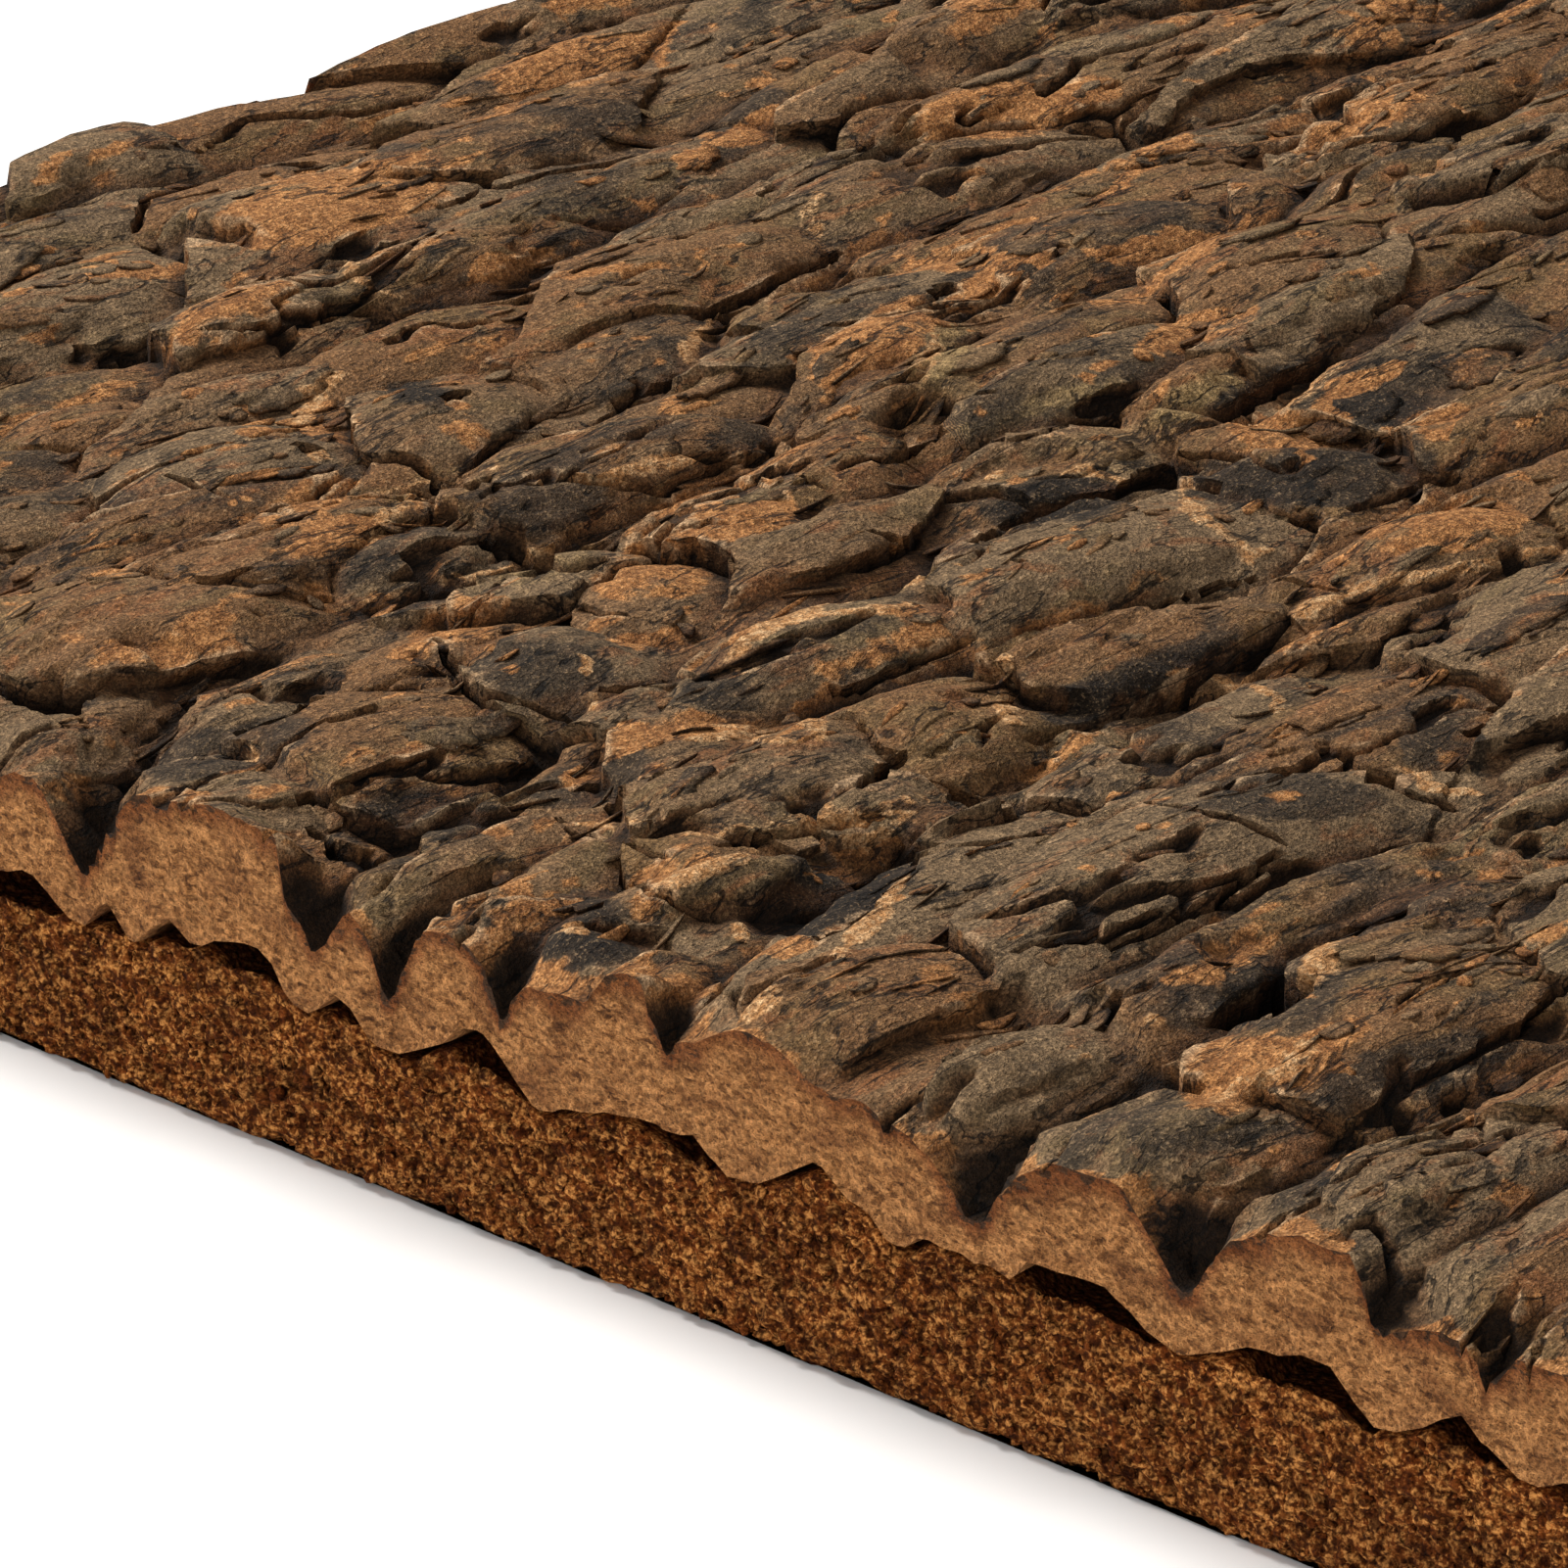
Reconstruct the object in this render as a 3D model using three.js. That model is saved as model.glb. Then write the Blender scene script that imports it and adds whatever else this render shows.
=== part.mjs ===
// Cork bark panel: a slab of rough cork bark lying on a granulated cork core.
// Millimetres. X runs across the grain, Y along it, Z up. The cut front edge is at the lowest Y.
import * as THREE from 'three';

// Driving dimensions
const PANEL_WIDTH = 300;
const PANEL_LENGTH = 300;
const GLUE_GAP = 0.3;
const CREST_HEIGHT = 27.5;
const CREST_SWELL = 1.3;
const HIGHEST_BARK = 30.4;
const LOWEST_FURROW = 18.9;
const FRONT_BLEND = 6;
const NOTCH_LENGTH = 8;
const SHALLOWER = 0.45;
const PLATE_PITCH_ACROSS = 12;
const PLATE_PITCH_ALONG = 37;
const PLATE_STEP = 1.5;
const PLATE_DOME = 1.1;
const PLATE_SHIFT = [3, -3.4];
const CRACK_DEPTH = 1.2;
const SHARP_EDGE = 0.15;
const SOFT_EDGE = 0.5;
const FURROW_WANDER = 1.7;
const TOP_ROWS = 44;
const SEAM_ROWS = 5;
const SEAM_LEVEL = 15.6;
const FURROW_STEP = 3.7;

const HALF_WIDTH = PANEL_WIDTH / 2;
const HALF_LENGTH = PANEL_LENGTH / 2;

// Outline of the bark's crust along the cut front edge, as [x, z]
const FRONT_CRUST = [
  [-150, 24.5], [-143, 26.4], [-137, 21.5], [-132, 26], [-125, 27.6], [-119, 20.4], [-113, 25.6],
  [-106, 27.4], [-98, 21], [-91, 26.4], [-83, 27.8], [-75, 20.6], [-68, 25.8], [-60, 28.2],
  [-52, 26.6], [-46, 25.2], [-42, 26.4], [-39, 26.8], [-36, 23.4], [-32.8, 19.1], [-31.2, 22.4],
  [-29, 25.3], [-27, 27.6], [-24.5, 29.1], [-20, 29.7], [-14, 30.1], [-10, 30], [-8.6, 24],
  [-7, 22.3], [-5.5, 20.1], [-3.6, 22.6], [-1.2, 25.2], [0.6, 24.4], [3, 18.9], [5, 22.4],
  [7, 26], [9.5, 26.9], [12.5, 26.2], [14.6, 23], [15.8, 20.4], [17.2, 22.8], [19, 24.7],
  [22, 25.1], [25, 25.3], [28, 28.7], [31, 29.4], [32.4, 26.2], [34, 24.6], [37, 25.3],
  [40, 27.1], [43.5, 28.3], [47, 27], [50, 25.8], [55, 25.4], [60, 24.4], [63, 22.2],
  [66.3, 19.5], [68.6, 22], [71, 24.8], [75, 27], [80, 27.1], [83, 25], [87.5, 20],
  [90, 23.2], [92, 25.8], [96, 27.9], [103, 28.9], [105, 25.4], [106, 23.8], [109, 24.3],
  [113, 24.9], [116.5, 22.2], [119, 25], [123, 25.4], [129, 27.6], [135, 26.2], [140, 21.2],
  [144, 25], [150, 26.2],
];

// Scalloped inner face of the bark along the cut front edge, as [x, z of the bark, z of the core]
const FRONT_SEAM = [
  [-150, 15.6, 15.3], [-144, 17.2, 16.1], [-137, 14.6, 14.3], [-130, 17, 15.6], [-124, 16.4, 15.8],
  [-118, 14.4, 14.1], [-110, 17.4, 15.7], [-103, 16.2, 15.9], [-97, 14.5, 14.2], [-90, 17, 15.8],
  [-82, 16.6, 16.1], [-75, 14.3, 14], [-68, 16.6, 15.4], [-61, 17.3, 16], [-54, 14.9, 14.6],
  [-48, 15.8, 15.1], [-43, 16.3, 15.1], [-40, 17.1, 15.2], [-37.4, 16.2, 15.1],
  [-36.2, 15, 14.7], [-33, 14.3, 14], [-31.4, 16.2, 15.5], [-30, 16.9, 15.9], [-28.4, 15.6, 15.2],
  [-26.8, 14.4, 14.1], [-25, 16.2, 15.7], [-22.5, 17.7, 16.9], [-20, 16.6, 16.2],
  [-16, 18, 16.9], [-12, 18.5, 17.1], [-10.4, 17.4, 16.6], [-9, 15.1, 14.8], [-6.5, 14.4, 14.1],
  [-4.6, 15.4, 15], [-3, 16.8, 15.9], [-1.4, 16.5, 15.8], [1, 14.2, 13.7], [3.4, 13.8, 13.3],
  [7, 15, 14.7], [9.4, 16.5, 16], [11.4, 18.5, 16.5], [13.4, 18.8, 16.7], [15.4, 17.7, 16.2],
  [18.6, 14.8, 14.3], [20.5, 13.7, 13.3], [24, 15, 14.7], [28, 16, 15.6], [32, 16.3, 15.7],
  [35, 16.4, 15.6], [37, 16.9, 15.7], [38.8, 15.6, 15.1], [41, 14.5, 14.2], [45, 15.5, 15.2],
  [48, 17.5, 17.1], [50.2, 18.7, 18.2], [53, 17, 16.6], [55.6, 16.1, 15.6], [58.5, 14, 13.6],
  [62, 15.8, 15.5], [66, 15.6, 15.3], [70, 15.3, 15], [72, 17.2, 16.1], [75, 17.5, 16.2],
  [78.6, 17.7, 16.4], [82, 16.5, 15.6], [86.5, 14.5, 14.2], [91, 15.8, 15.5], [95, 17.5, 16.3],
  [101, 18.3, 16.6], [103, 17, 15.8], [106, 14.5, 14.2], [110, 16, 15.7], [113.6, 18.3, 17],
  [116.2, 16.8, 16.1], [120, 15, 14.7], [126, 16.8, 15.8], [132, 15.2, 14.9], [138, 17.3, 16],
  [144, 14.8, 14.5], [150, 16, 15.7],
];

// Furrows along the grain, from the front edge to the back one, as [y, x, depth].
// The two widths are those of the left and right slopes.
const FURROWS = [
  { left: 5, right: 6, line: [[-150, -137, 6], [-60, -141, 6.5], [0, -138, 5], [70, -141, 7],
    [150, -138, 6]] },
  { left: 8, right: 5, line: [[-150, -119, 7], [-115, -115, 4], [-80, -110, 7], [-55, -108, 6],
    [-15, -109, 3.5], [20, -113, 6.5], [90, -116, 3], [150, -117, 7]] },
  { left: 6, right: 5, line: [[-150, -98, 6.5], [-90, -95, 3], [-60, -93.5, 7], [-25, -94, 7.4],
    [20, -97, 6], [60, -98, 7], [95, -96, 6], [150, -100, 4]] },
  { left: 7, right: 5, line: [[-150, -75, 7], [-115, -70, 3], [-80, -61, 7.6], [-62, -62, 7],
    [-40, -65, 5], [-25, -70, 6.4], [0, -74, 5], [50, -75, 7.2], [100, -71, 6], [150, -74, 7]] },
  { left: 5, right: 6, line: [[-150, -32.8, 8], [-138, -37, 7.6], [-126, -43, 7.4], [-104, -45, 5],
    [-84, -42, 7.4], [-62, -43, 7.4], [-44, -45, 5], [-10, -47, 3], [30, -49, 6], [85, -50, 7],
    [150, -44, 5]] },
  { left: 5, right: 5, line: [[-150, -20, 0], [-72, -24, 0], [-54, -26, 4], [-42, -30, 7.4],
    [-28, -27, 5], [-12, -16, 6.6], [6, -18, 6], [50, -25, 5], [100, -24, 7], [150, -20, 6]] },
  { left: 8, right: 4.5, line: [[-150, -5.5, 7.2], [-130, -9, 5], [-110, -13, 7], [-88, -15, 4],
    [-68, -13, 7.4], [-50, -17, 8], [-34, -12, 8], [-16, -3, 4], [10, 0, 3], [60, 6, 7],
    [110, 9, 5], [150, 12, 7]] },
  { left: 5, right: 4.5, line: [[-150, 3, 8.3], [-136, 4, 5], [-118, 3, 2], [-92, 2, 6],
    [-65, 5, 6.6], [-46, 10, 7], [-28, 9, 4], [-12, 10, 7], [20, 18, 6], [70, 25, 4],
    [150, 31, 6]] },
  { left: 4.5, right: 4.5, line: [[-150, 15.8, 6.6], [-138, 13, 4], [-124, 12, 1], [-100, 12, 0],
    [150, 42, 0]] },
  { left: 6, right: 4, line: [[-150, 34, 4.4], [-138, 30, 6], [-122, 26, 7.2], [-104, 24, 6],
    [-88, 23, 8.4], [-56, 21, 8.4], [-38, 24, 4], [0, 33, 6], [60, 42, 7.4], [150, 52, 6]] },
  { left: 7, right: 6, line: [[-150, 55, 1], [-126, 54, 2], [-116, 54, 6.4], [-84, 55, 7],
    [-60, 57, 6], [-20, 55, 3], [40, 61, 7], [100, 70, 5], [150, 73, 7]] },
  { left: 7, right: 5.5, line: [[-150, 66.3, 8.2], [-128, 69, 6], [-108, 65, 8.6], [-88, 67, 4],
    [-50, 73, 7], [0, 79, 7], [60, 86, 5], [150, 92, 7]] },
  { left: 5.5, right: 5.5, line: [[-150, 87.5, 7.6], [-110, 91, 6], [-60, 95, 7.4], [0, 99, 5],
    [70, 103, 7], [150, 110, 6]] },
  { left: 4, right: 5, line: [[-150, 106, 3.4], [-110, 108, 6], [-50, 113, 7], [0, 117, 6],
    [60, 122, 7], [150, 127, 5]] },
  { left: 4, right: 4, line: [[-150, 116.5, 5], [-120, 119, 2], [-90, 122, 0], [150, 137, 0]] },
  { left: 6, right: 5, line: [[-150, 140, 6], [-60, 137, 7], [0, 140, 5], [80, 142, 7],
    [150, 143, 6]] },
];

// Plates of crust that stand out, as [x, y, half width, half length, lean in degrees, lift]
const PLATES = [
  [-3, -52, 7, 17, 4, 0.9], [15, -53, 4.5, 19, -24, 1.1], [-6.5, -82, 7.5, 12, -3, 0.7],
  [9, -84, 7, 8, -10, 0.2], [5, -109, 8, 14, 10, 0.8], [-21, -101, 7.5, 8.5, -6, 1],
  [-23, -123, 9, 11, 8, 0.5], [-24, -142, 9, 9, -8, 0.1], [-11, -143, 6, 9, 6, -0.4],
  [-56, -116, 10, 12, -12, 0.9], [-50, -141, 9, 9, 6, 0.1], [-34, -65, 8, 9, 14, 0.8],
  [-30, -82, 6, 8, -5, -0.2], [-37, -86, 4, 10, 3, 0.7], [-53, -62, 7.5, 16, -5, 1],
  [-52, -86, 6, 9, 8, -0.1], [-34, -103, 5, 10, -4, -0.5], [-52, -22, 6, 18, 18, 0.8],
  [-34, -20, 4.5, 17, 4, 0.9], [-23, -12, 4, 9, 8, 0.6], [-22, -33, 7.5, 11, 8, 0.2],
  [-8, -16, 8, 7, 12, 0.5], [18, -25, 7, 10, -8, 0.6], [20, -101, 4.5, 7, -40, 0.9],
  [12, -121, 6.5, 4, 20, 0.3], [20, -121, 3, 12, -22, 0.6], [44, -98, 9, 24, 2, 0.9],
  [41, -138, 8, 13, -4, 0.7], [17, -144, 7, 7, 0, 0.4], [27, -143, 4, 7, -5, 0.8],
  [62, -102, 6, 18, 3, 0.9], [60, -138, 7, 12, -3, 0], [78, -111, 8, 15, 3, 0.7],
  [80, -140, 7, 11, -2, 0.6], [-120, -29, 10, 20, 3, 0.8], [-101, -26, 5, 22, -2, 0.5],
  [-104, -56, 5, 11, 4, 0.9], [-97, -88, 5, 10, 2, 0.2], [-71, -64, 7, 10, 6, 0.7],
  [-79, -84, 7, 11, -8, 0.1], [-82, -20, 7, 18, 2, 0.8], [-83, 22, 8, 19, -4, 0.2],
  [-59, 16, 8, 16, -3, 0.4], [-38, 22, 7, 14, 6, 0.7], [97, -138, 6.5, 12, 0, 0.8],
];

// Hollows broken out of the crust, as [x, y, half width, half length, lean in degrees, depth]
const HOLLOWS = [
  [-44, -124, 9, 2.8, 12, 2.8], [-51, -137, 4, 4, 0, 3.5], [-35.5, -38, 3.5, 6, 10, 4.5],
  [-20, -40, 4.5, 11, -24, 3.4], [64, -110, 4.5, 8.5, -8, 5], [25, -116, 4.5, 12, -14, 1.6],
  [30.5, -144, 4.5, 4.5, 0, 3], [-121, -47, 7.5, 3.6, 10, 4.5], [-25, -109, 9, 3, 6, 1.8],
  [6, -124, 8, 2.8, -8, 1.4], [-66, -107, 3, 8, -28, 2.4], [-34, -87, 5, 2.6, 30, 2],
  [-100, 44, 7, 5, 20, 4], [-60, 52, 4, 9, -20, 4], [36, 84, 8, 5, -14, 5], [-22, 118, 5, 9, 16, 5],
  [84, 36, 5, 9, -20, 4.5], [112, -36, 8, 4.5, 12, 4.5], [124, 92, 5, 10, 14, 4.5],
  [60, 130, 8, 5, -10, 4.5], [-122, 112, 8, 5, 14, 5], [-84, 126, 4, 9, -18, 4], [2, 62, 7, 4, 8, 4.5],
  [104, -96, 4, 8, 12, 4], [-104, -128, 8, 5, -12, 4.5], [40, -14, 7, 5, 14, 4],
];

// Value of a row of [position, ...] points at a position between them
function along(points, position, column) {
  let i = 1;
  while (i < points.length - 1 && points[i][0] < position) i += 1;
  const [a, b] = [points[i - 1], points[i]];
  const share = Math.min(Math.max((position - a[0]) / (b[0] - a[0]), 0), 1);
  return a[column] + share * (b[column] - a[column]);
}

function smooth(share) {
  const s = Math.min(Math.max(share, 0), 1);
  return s * s * (3 - 2 * s);
}

// A settled random number from 0 to 1 for a whole-number place
function chance(ix, iy, seed) {
  let h = (Math.imul(ix, 374761393) + Math.imul(iy, 668265263) + Math.imul(seed, 2246822519)) | 0;
  h = Math.imul(h ^ (h >>> 13), 1274126177);
  h ^= h >>> 16;
  return (h >>> 0) / 4294967296;
}

// Soft random swell from -1 to 1
function swell(x, y, seed) {
  const ix = Math.floor(x);
  const iy = Math.floor(y);
  const sx = smooth(x - ix);
  const sy = smooth(y - iy);
  const near = chance(ix, iy, seed) * (1 - sx) + chance(ix + 1, iy, seed) * sx;
  const far = chance(ix, iy + 1, seed) * (1 - sx) + chance(ix + 1, iy + 1, seed) * sx;
  return (near * (1 - sy) + far * sy) * 2 - 1;
}

// The drawn plates moved to where they lie at their height, and smaller ones scattered in rows over
// the places that they leave free
function scatterPlates(drawn) {
  const named = drawn.map(([x, y, ...rest]) => [x + PLATE_SHIFT[0], y + PLATE_SHIFT[1], ...rest]);
  const plates = [...named];
  const across = Math.ceil(HALF_WIDTH / PLATE_PITCH_ACROSS);
  const alongGrain = Math.ceil(HALF_LENGTH / PLATE_PITCH_ALONG);
  for (let ix = -across; ix <= across; ix += 1) {
    for (let iy = -alongGrain; iy <= alongGrain; iy += 1) {
      const stagger = ix % 2 === 0 ? 0 : 0.5;
      const x = (ix + 0.8 * (chance(ix, iy, 11) - 0.5)) * PLATE_PITCH_ACROSS;
      const y = (iy + stagger + 0.8 * (chance(ix, iy, 12) - 0.5)) * PLATE_PITCH_ALONG;
      const taken = named.some((p) => Math.hypot((x - p[0]) / (p[2] + 2), (y - p[1]) / (p[3] + 4)) < 1);
      if (!taken) {
        const halfWidth = 5 + 3.5 * chance(ix, iy, 13);
        const halfLength = 14 + 15 * chance(ix, iy, 14);
        const lean = 24 * (chance(ix, iy, 15) - 0.5);
        plates.push([x, y, halfWidth, halfLength, lean, 1.9 * (chance(ix, iy, 16) - 0.42)]);
      }
    }
  }
  return plates;
}

const ALL_PLATES = scatterPlates(PLATES);

// Rise or fall that the plates give to the crust at a place. Where two plates meet, their edges
// are sharp ledges in some places and flow together in others.
function plateRelief(x, y) {
  const wx = x + swell(x / 9, y / 17, 21);
  const wy = y + 2 * swell(x / 10, y / 19, 22);
  let own = { distance: 9, height: 0 };
  let next = { distance: 9, height: 0 };
  for (const [centreX, centreY, halfWidth, halfLength, leanDegrees, lift] of ALL_PLATES) {
    const dx = wx - centreX;
    const dy = wy - centreY;
    if (Math.abs(dx) < 40 && Math.abs(dy) < 80) {
      const lean = (leanDegrees * Math.PI) / 180;
      const u = (dx * Math.cos(lean) + dy * Math.sin(lean)) / halfWidth;
      const v = (-dx * Math.sin(lean) + dy * Math.cos(lean)) / halfLength;
      const distance = Math.hypot(u, v);
      if (distance < next.distance) {
        const dome = PLATE_DOME * (0.4 - Math.min(distance, 1.3) ** 2.4);
        const plate = { distance, height: PLATE_STEP * lift + dome - 0.6 * v - 0.4 * u };
        if (distance < own.distance) {
          next = own;
          own = plate;
        } else {
          next = plate;
        }
      }
    }
  }
  const cracked = smooth((swell(x / 6, y / 13, 25) + 0.45) / 0.4);
  const edge = (next.distance - own.distance) / (SOFT_EDGE + (SHARP_EDGE - SOFT_EDGE) * cracked);
  const share = smooth(0.5 + 0.5 * edge);
  return own.height * share + next.height * (1 - share) - 2 * (1 - share) * CRACK_DEPTH * cracked;
}

// Place of a furrow at a row: its own line, with a little wander behind the front edge
function furrowPlace(furrow, y) {
  const wander = FURROW_WANDER * smooth((y + HALF_LENGTH) / 25);
  return along(furrow.line, y, 1) + wander * swell(furrow.line[0][1] * 0.37, y / 11, 61);
}

// How far the furrows sink the crust at a place, as narrow creases between rounded ridges
function furrowDepth(x, y) {
  let deepest = 0;
  for (const furrow of FURROWS) {
    const offset = x - furrowPlace(furrow, y);
    const width = offset < 0 ? furrow.left * 1.5 : furrow.right;
    const wall = Math.max(1 - Math.abs(offset) / width, 0);
    const uneven = 1 + 0.22 * swell(furrow.line[0][1] * 0.37, y / 9, 62);
    deepest = Math.max(deepest, along(furrow.line, y, 2) * uneven * wall ** 1.8);
  }
  return deepest;
}

// How far the broken-out hollows sink the crust at a place
function hollowDepth(x, y) {
  let deepest = 0;
  for (const [centreX, centreY, halfWidth, halfLength, leanDegrees, depth] of HOLLOWS) {
    const lean = (leanDegrees * Math.PI) / 180;
    const dx = x - centreX;
    const dy = y - centreY;
    const u = (dx * Math.cos(lean) + dy * Math.sin(lean)) / halfWidth;
    const v = (-dx * Math.sin(lean) + dy * Math.cos(lean)) / halfLength;
    deepest = Math.max(deepest, depth * smooth((1.15 - Math.hypot(u, v)) / 0.6));
  }
  return deepest;
}

// Height of the crust. The notches at the cut are deep, and the furrows behind them are shallower.
function crustHeight(x, y) {
  const behind = 1 - SHALLOWER * smooth((y + HALF_LENGTH) / NOTCH_LENGTH);
  const depth = Math.max(furrowDepth(x, y), hollowDepth(x, y)) * behind;
  const crest = CREST_HEIGHT + CREST_SWELL * swell(x / 27 + 0.4, y / 64, 31);
  const plates = plateRelief(x, y) * (1 - depth / 14);
  const inner = Math.min(Math.max(crest - depth + plates, LOWEST_FURROW), HIGHEST_BARK);
  const front = smooth((y + HALF_LENGTH) / FRONT_BLEND);
  return along(FRONT_CRUST, x, 1) * (1 - front) + inner * front;
}

// Strength of the scallops, which is whole at the front edge and wanders behind it
function scallop(x, y) {
  const front = smooth((y + HALF_LENGTH) / 30);
  return 1 - front * (0.45 + 0.35 * swell(x / 18, y / 40, 41));
}

// Height of the bark's inner face
function innerFace(x, y) {
  const wave = (along(FRONT_SEAM, x, 1) - SEAM_LEVEL) * scallop(x, y);
  return SEAM_LEVEL + wave + 0.7 * smooth((y + HALF_LENGTH) / 30) * swell(x / 30, y / 21, 42);
}

// Height of the core, just under the bark's teeth and lower in the hollows between them
function coreHeight(x, y) {
  const hollow = along(FRONT_SEAM, x, 1) - along(FRONT_SEAM, x, 2) - GLUE_GAP;
  return innerFace(x, y) - GLUE_GAP - Math.max(hollow, 0) * scallop(x, y);
}

// Columns that follow the furrows, so that each furrow and crest keeps its own line of points
function columnsAt(y) {
  const lines = [-HALF_WIDTH, ...FURROWS.map((furrow) => furrowPlace(furrow, y)), HALF_WIDTH];
  const frontLines = [-HALF_WIDTH, ...FURROWS.map((furrow) => furrow.line[0][1]), HALF_WIDTH];
  const columns = [-HALF_WIDTH];
  for (let i = 1; i < lines.length; i += 1) {
    const gap = frontLines[i] - frontLines[i - 1];
    const count = Math.max(Math.round(gap / FURROW_STEP), 3);
    for (let k = 1; k <= count; k += 1) {
      columns.push(lines[i - 1] + ((lines[i] - lines[i - 1]) * k) / count);
    }
  }
  return columns;
}

// Rows of points over the panel: one list of x for each y, with a height for each point
function surfaceRows(rowCount, columnsOf, heightOf) {
  const rows = [];
  for (let j = 0; j <= rowCount; j += 1) {
    const y = -HALF_LENGTH + (PANEL_LENGTH * j) / rowCount;
    rows.push(columnsOf(y).map((x) => new THREE.Vector3(x, y, heightOf(x, y))));
  }
  return rows;
}

// Triangles between two edges that run side by side, with the upper edge on the left
function bridge(upper, lower, reach, triangles) {
  let i = 0;
  let j = 0;
  while (i < upper.length - 1 || j < lower.length - 1) {
    const upperNext = i < upper.length - 1 ? reach(upper[i + 1]) : Infinity;
    const lowerNext = j < lower.length - 1 ? reach(lower[j + 1]) : Infinity;
    if (upperNext <= lowerNext) {
      triangles.push([upper[i], lower[j], upper[i + 1]]);
      i += 1;
    } else {
      triangles.push([upper[i], lower[j], lower[j + 1]]);
      j += 1;
    }
  }
}

// Triangles over the rows, each cell split along its flatter diagonal
function cover(rows, upward, triangles) {
  for (let j = 1; j < rows.length; j += 1) {
    for (let i = 1; i < rows[j].length; i += 1) {
      const [a, b] = [rows[j - 1][i - 1], rows[j - 1][i]];
      const [d, c] = [rows[j][i - 1], rows[j][i]];
      const split = Math.abs(a.z - c.z) <= Math.abs(b.z - d.z);
      const pair = split ? [[a, b, c], [a, c, d]] : [[a, b, d], [b, c, d]];
      for (const [p, q, r] of pair) triangles.push(upward ? [p, q, r] : [p, r, q]);
    }
  }
}

// Closed solid between an upper and a lower set of rows
function solidBetween(upper, lower) {
  const triangles = [];
  cover(upper, true, triangles);
  cover(lower, false, triangles);
  const byX = (point) => point.x;
  const byY = (point) => point.y;
  const flip = (list) => list.map(([p, q, r]) => [p, r, q]);
  const back = [];
  const left = [];
  bridge(upper[0], lower[0], byX, triangles);
  bridge(upper.at(-1), lower.at(-1), byX, back);
  bridge(upper.map((row) => row[0]), lower.map((row) => row[0]), byY, left);
  bridge(upper.map((row) => row.at(-1)), lower.map((row) => row.at(-1)), byY, triangles);
  triangles.push(...flip(back), ...flip(left));

  const corners = new Map();
  const positions = [];
  const index = [];
  for (const point of triangles.flat()) {
    if (!corners.has(point)) {
      corners.set(point, positions.length / 3);
      positions.push(point.x, point.y, point.z);
    }
    index.push(corners.get(point));
  }
  const geometry = new THREE.BufferGeometry();
  geometry.setAttribute('position', new THREE.Float32BufferAttribute(positions, 3));
  geometry.setIndex(index);
  geometry.computeVertexNormals();
  return geometry;
}

function piece(name, geometry, color, roughness) {
  const mesh = new THREE.Mesh(geometry, new THREE.MeshStandardMaterial({ color, roughness }));
  mesh.name = name;
  return mesh;
}

const seamColumns = () => FRONT_SEAM.map((point) => point[0]);
const footColumns = () => [-HALF_WIDTH, HALF_WIDTH];

const bark = solidBetween(
  surfaceRows(TOP_ROWS, columnsAt, crustHeight),
  surfaceRows(SEAM_ROWS, seamColumns, innerFace),
);
const core = solidBetween(
  surfaceRows(SEAM_ROWS, seamColumns, coreHeight),
  surfaceRows(1, footColumns, () => 0),
);

const group = new THREE.Group();
group.name = 'cork_bark_panel';
group.add(piece('cork_bark', bark, 0x6b5a45, 0.95));
group.add(piece('granulated_cork_core', core, 0x7c5230, 0.97));

export default group;
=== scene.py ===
"""Cork bark panel: rough cork bark on a granulated cork core, dressed over its frame.

Lengths in the classes are in millimetres. X runs across the grain, Y along it and Z up, and the cut
front edge is at the lowest Y.
"""

import itertools
import logging
import math
from collections.abc import Callable
from dataclasses import dataclass
from enum import Enum
from types import EllipsisType

import bpy
import numpy as np
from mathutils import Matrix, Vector


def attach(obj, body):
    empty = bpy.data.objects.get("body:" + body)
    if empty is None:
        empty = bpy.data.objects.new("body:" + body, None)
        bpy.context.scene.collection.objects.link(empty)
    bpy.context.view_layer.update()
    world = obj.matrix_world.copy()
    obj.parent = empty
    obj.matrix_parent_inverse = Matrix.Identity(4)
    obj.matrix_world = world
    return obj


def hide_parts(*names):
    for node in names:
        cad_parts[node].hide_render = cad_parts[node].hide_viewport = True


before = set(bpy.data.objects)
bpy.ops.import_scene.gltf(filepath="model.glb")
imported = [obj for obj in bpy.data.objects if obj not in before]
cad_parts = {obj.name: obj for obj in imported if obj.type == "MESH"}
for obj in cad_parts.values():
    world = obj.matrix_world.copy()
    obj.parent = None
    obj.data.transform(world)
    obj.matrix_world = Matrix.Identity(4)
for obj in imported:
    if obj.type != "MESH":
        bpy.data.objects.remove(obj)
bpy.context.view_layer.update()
LOG = logging.getLogger("cork_bark_panel")

Array = np.ndarray
Block = tuple[slice, slice] | EllipsisType
Colour = tuple[float, float, float, float]

# Half the panel's side in mm, and metres in a millimetre
HALF = 150.0
MM = 0.001

# Step from one plate's tone to the next one's, which spreads the tones evenly
GOLDEN = 0.618034

# In mm: the seam closes this near a corner, the cut sides run straight, the core's foot is worn
CORNER_FADE = 22.0
CORNER_CALM = 2.0
WORN_FOOT = 1.3

# Material slots: the slab's two, and that of a piece with one material
CRUST, CUT, ONLY = 0, 1, 0

# Grid of a cap: cells across and along, and its distance from the rim in mm
SEAM_CAP = (220, 24, 3.0)
PLAIN_CAP = (1, 1, 5.0)

# Charts of wear, and of painted shade with some dirt, that the crust's points hold
WEAR = ("tone", "shade_and_dirt", "edge", "fresh", "torn", "sooty", "pale", "scale")

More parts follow.
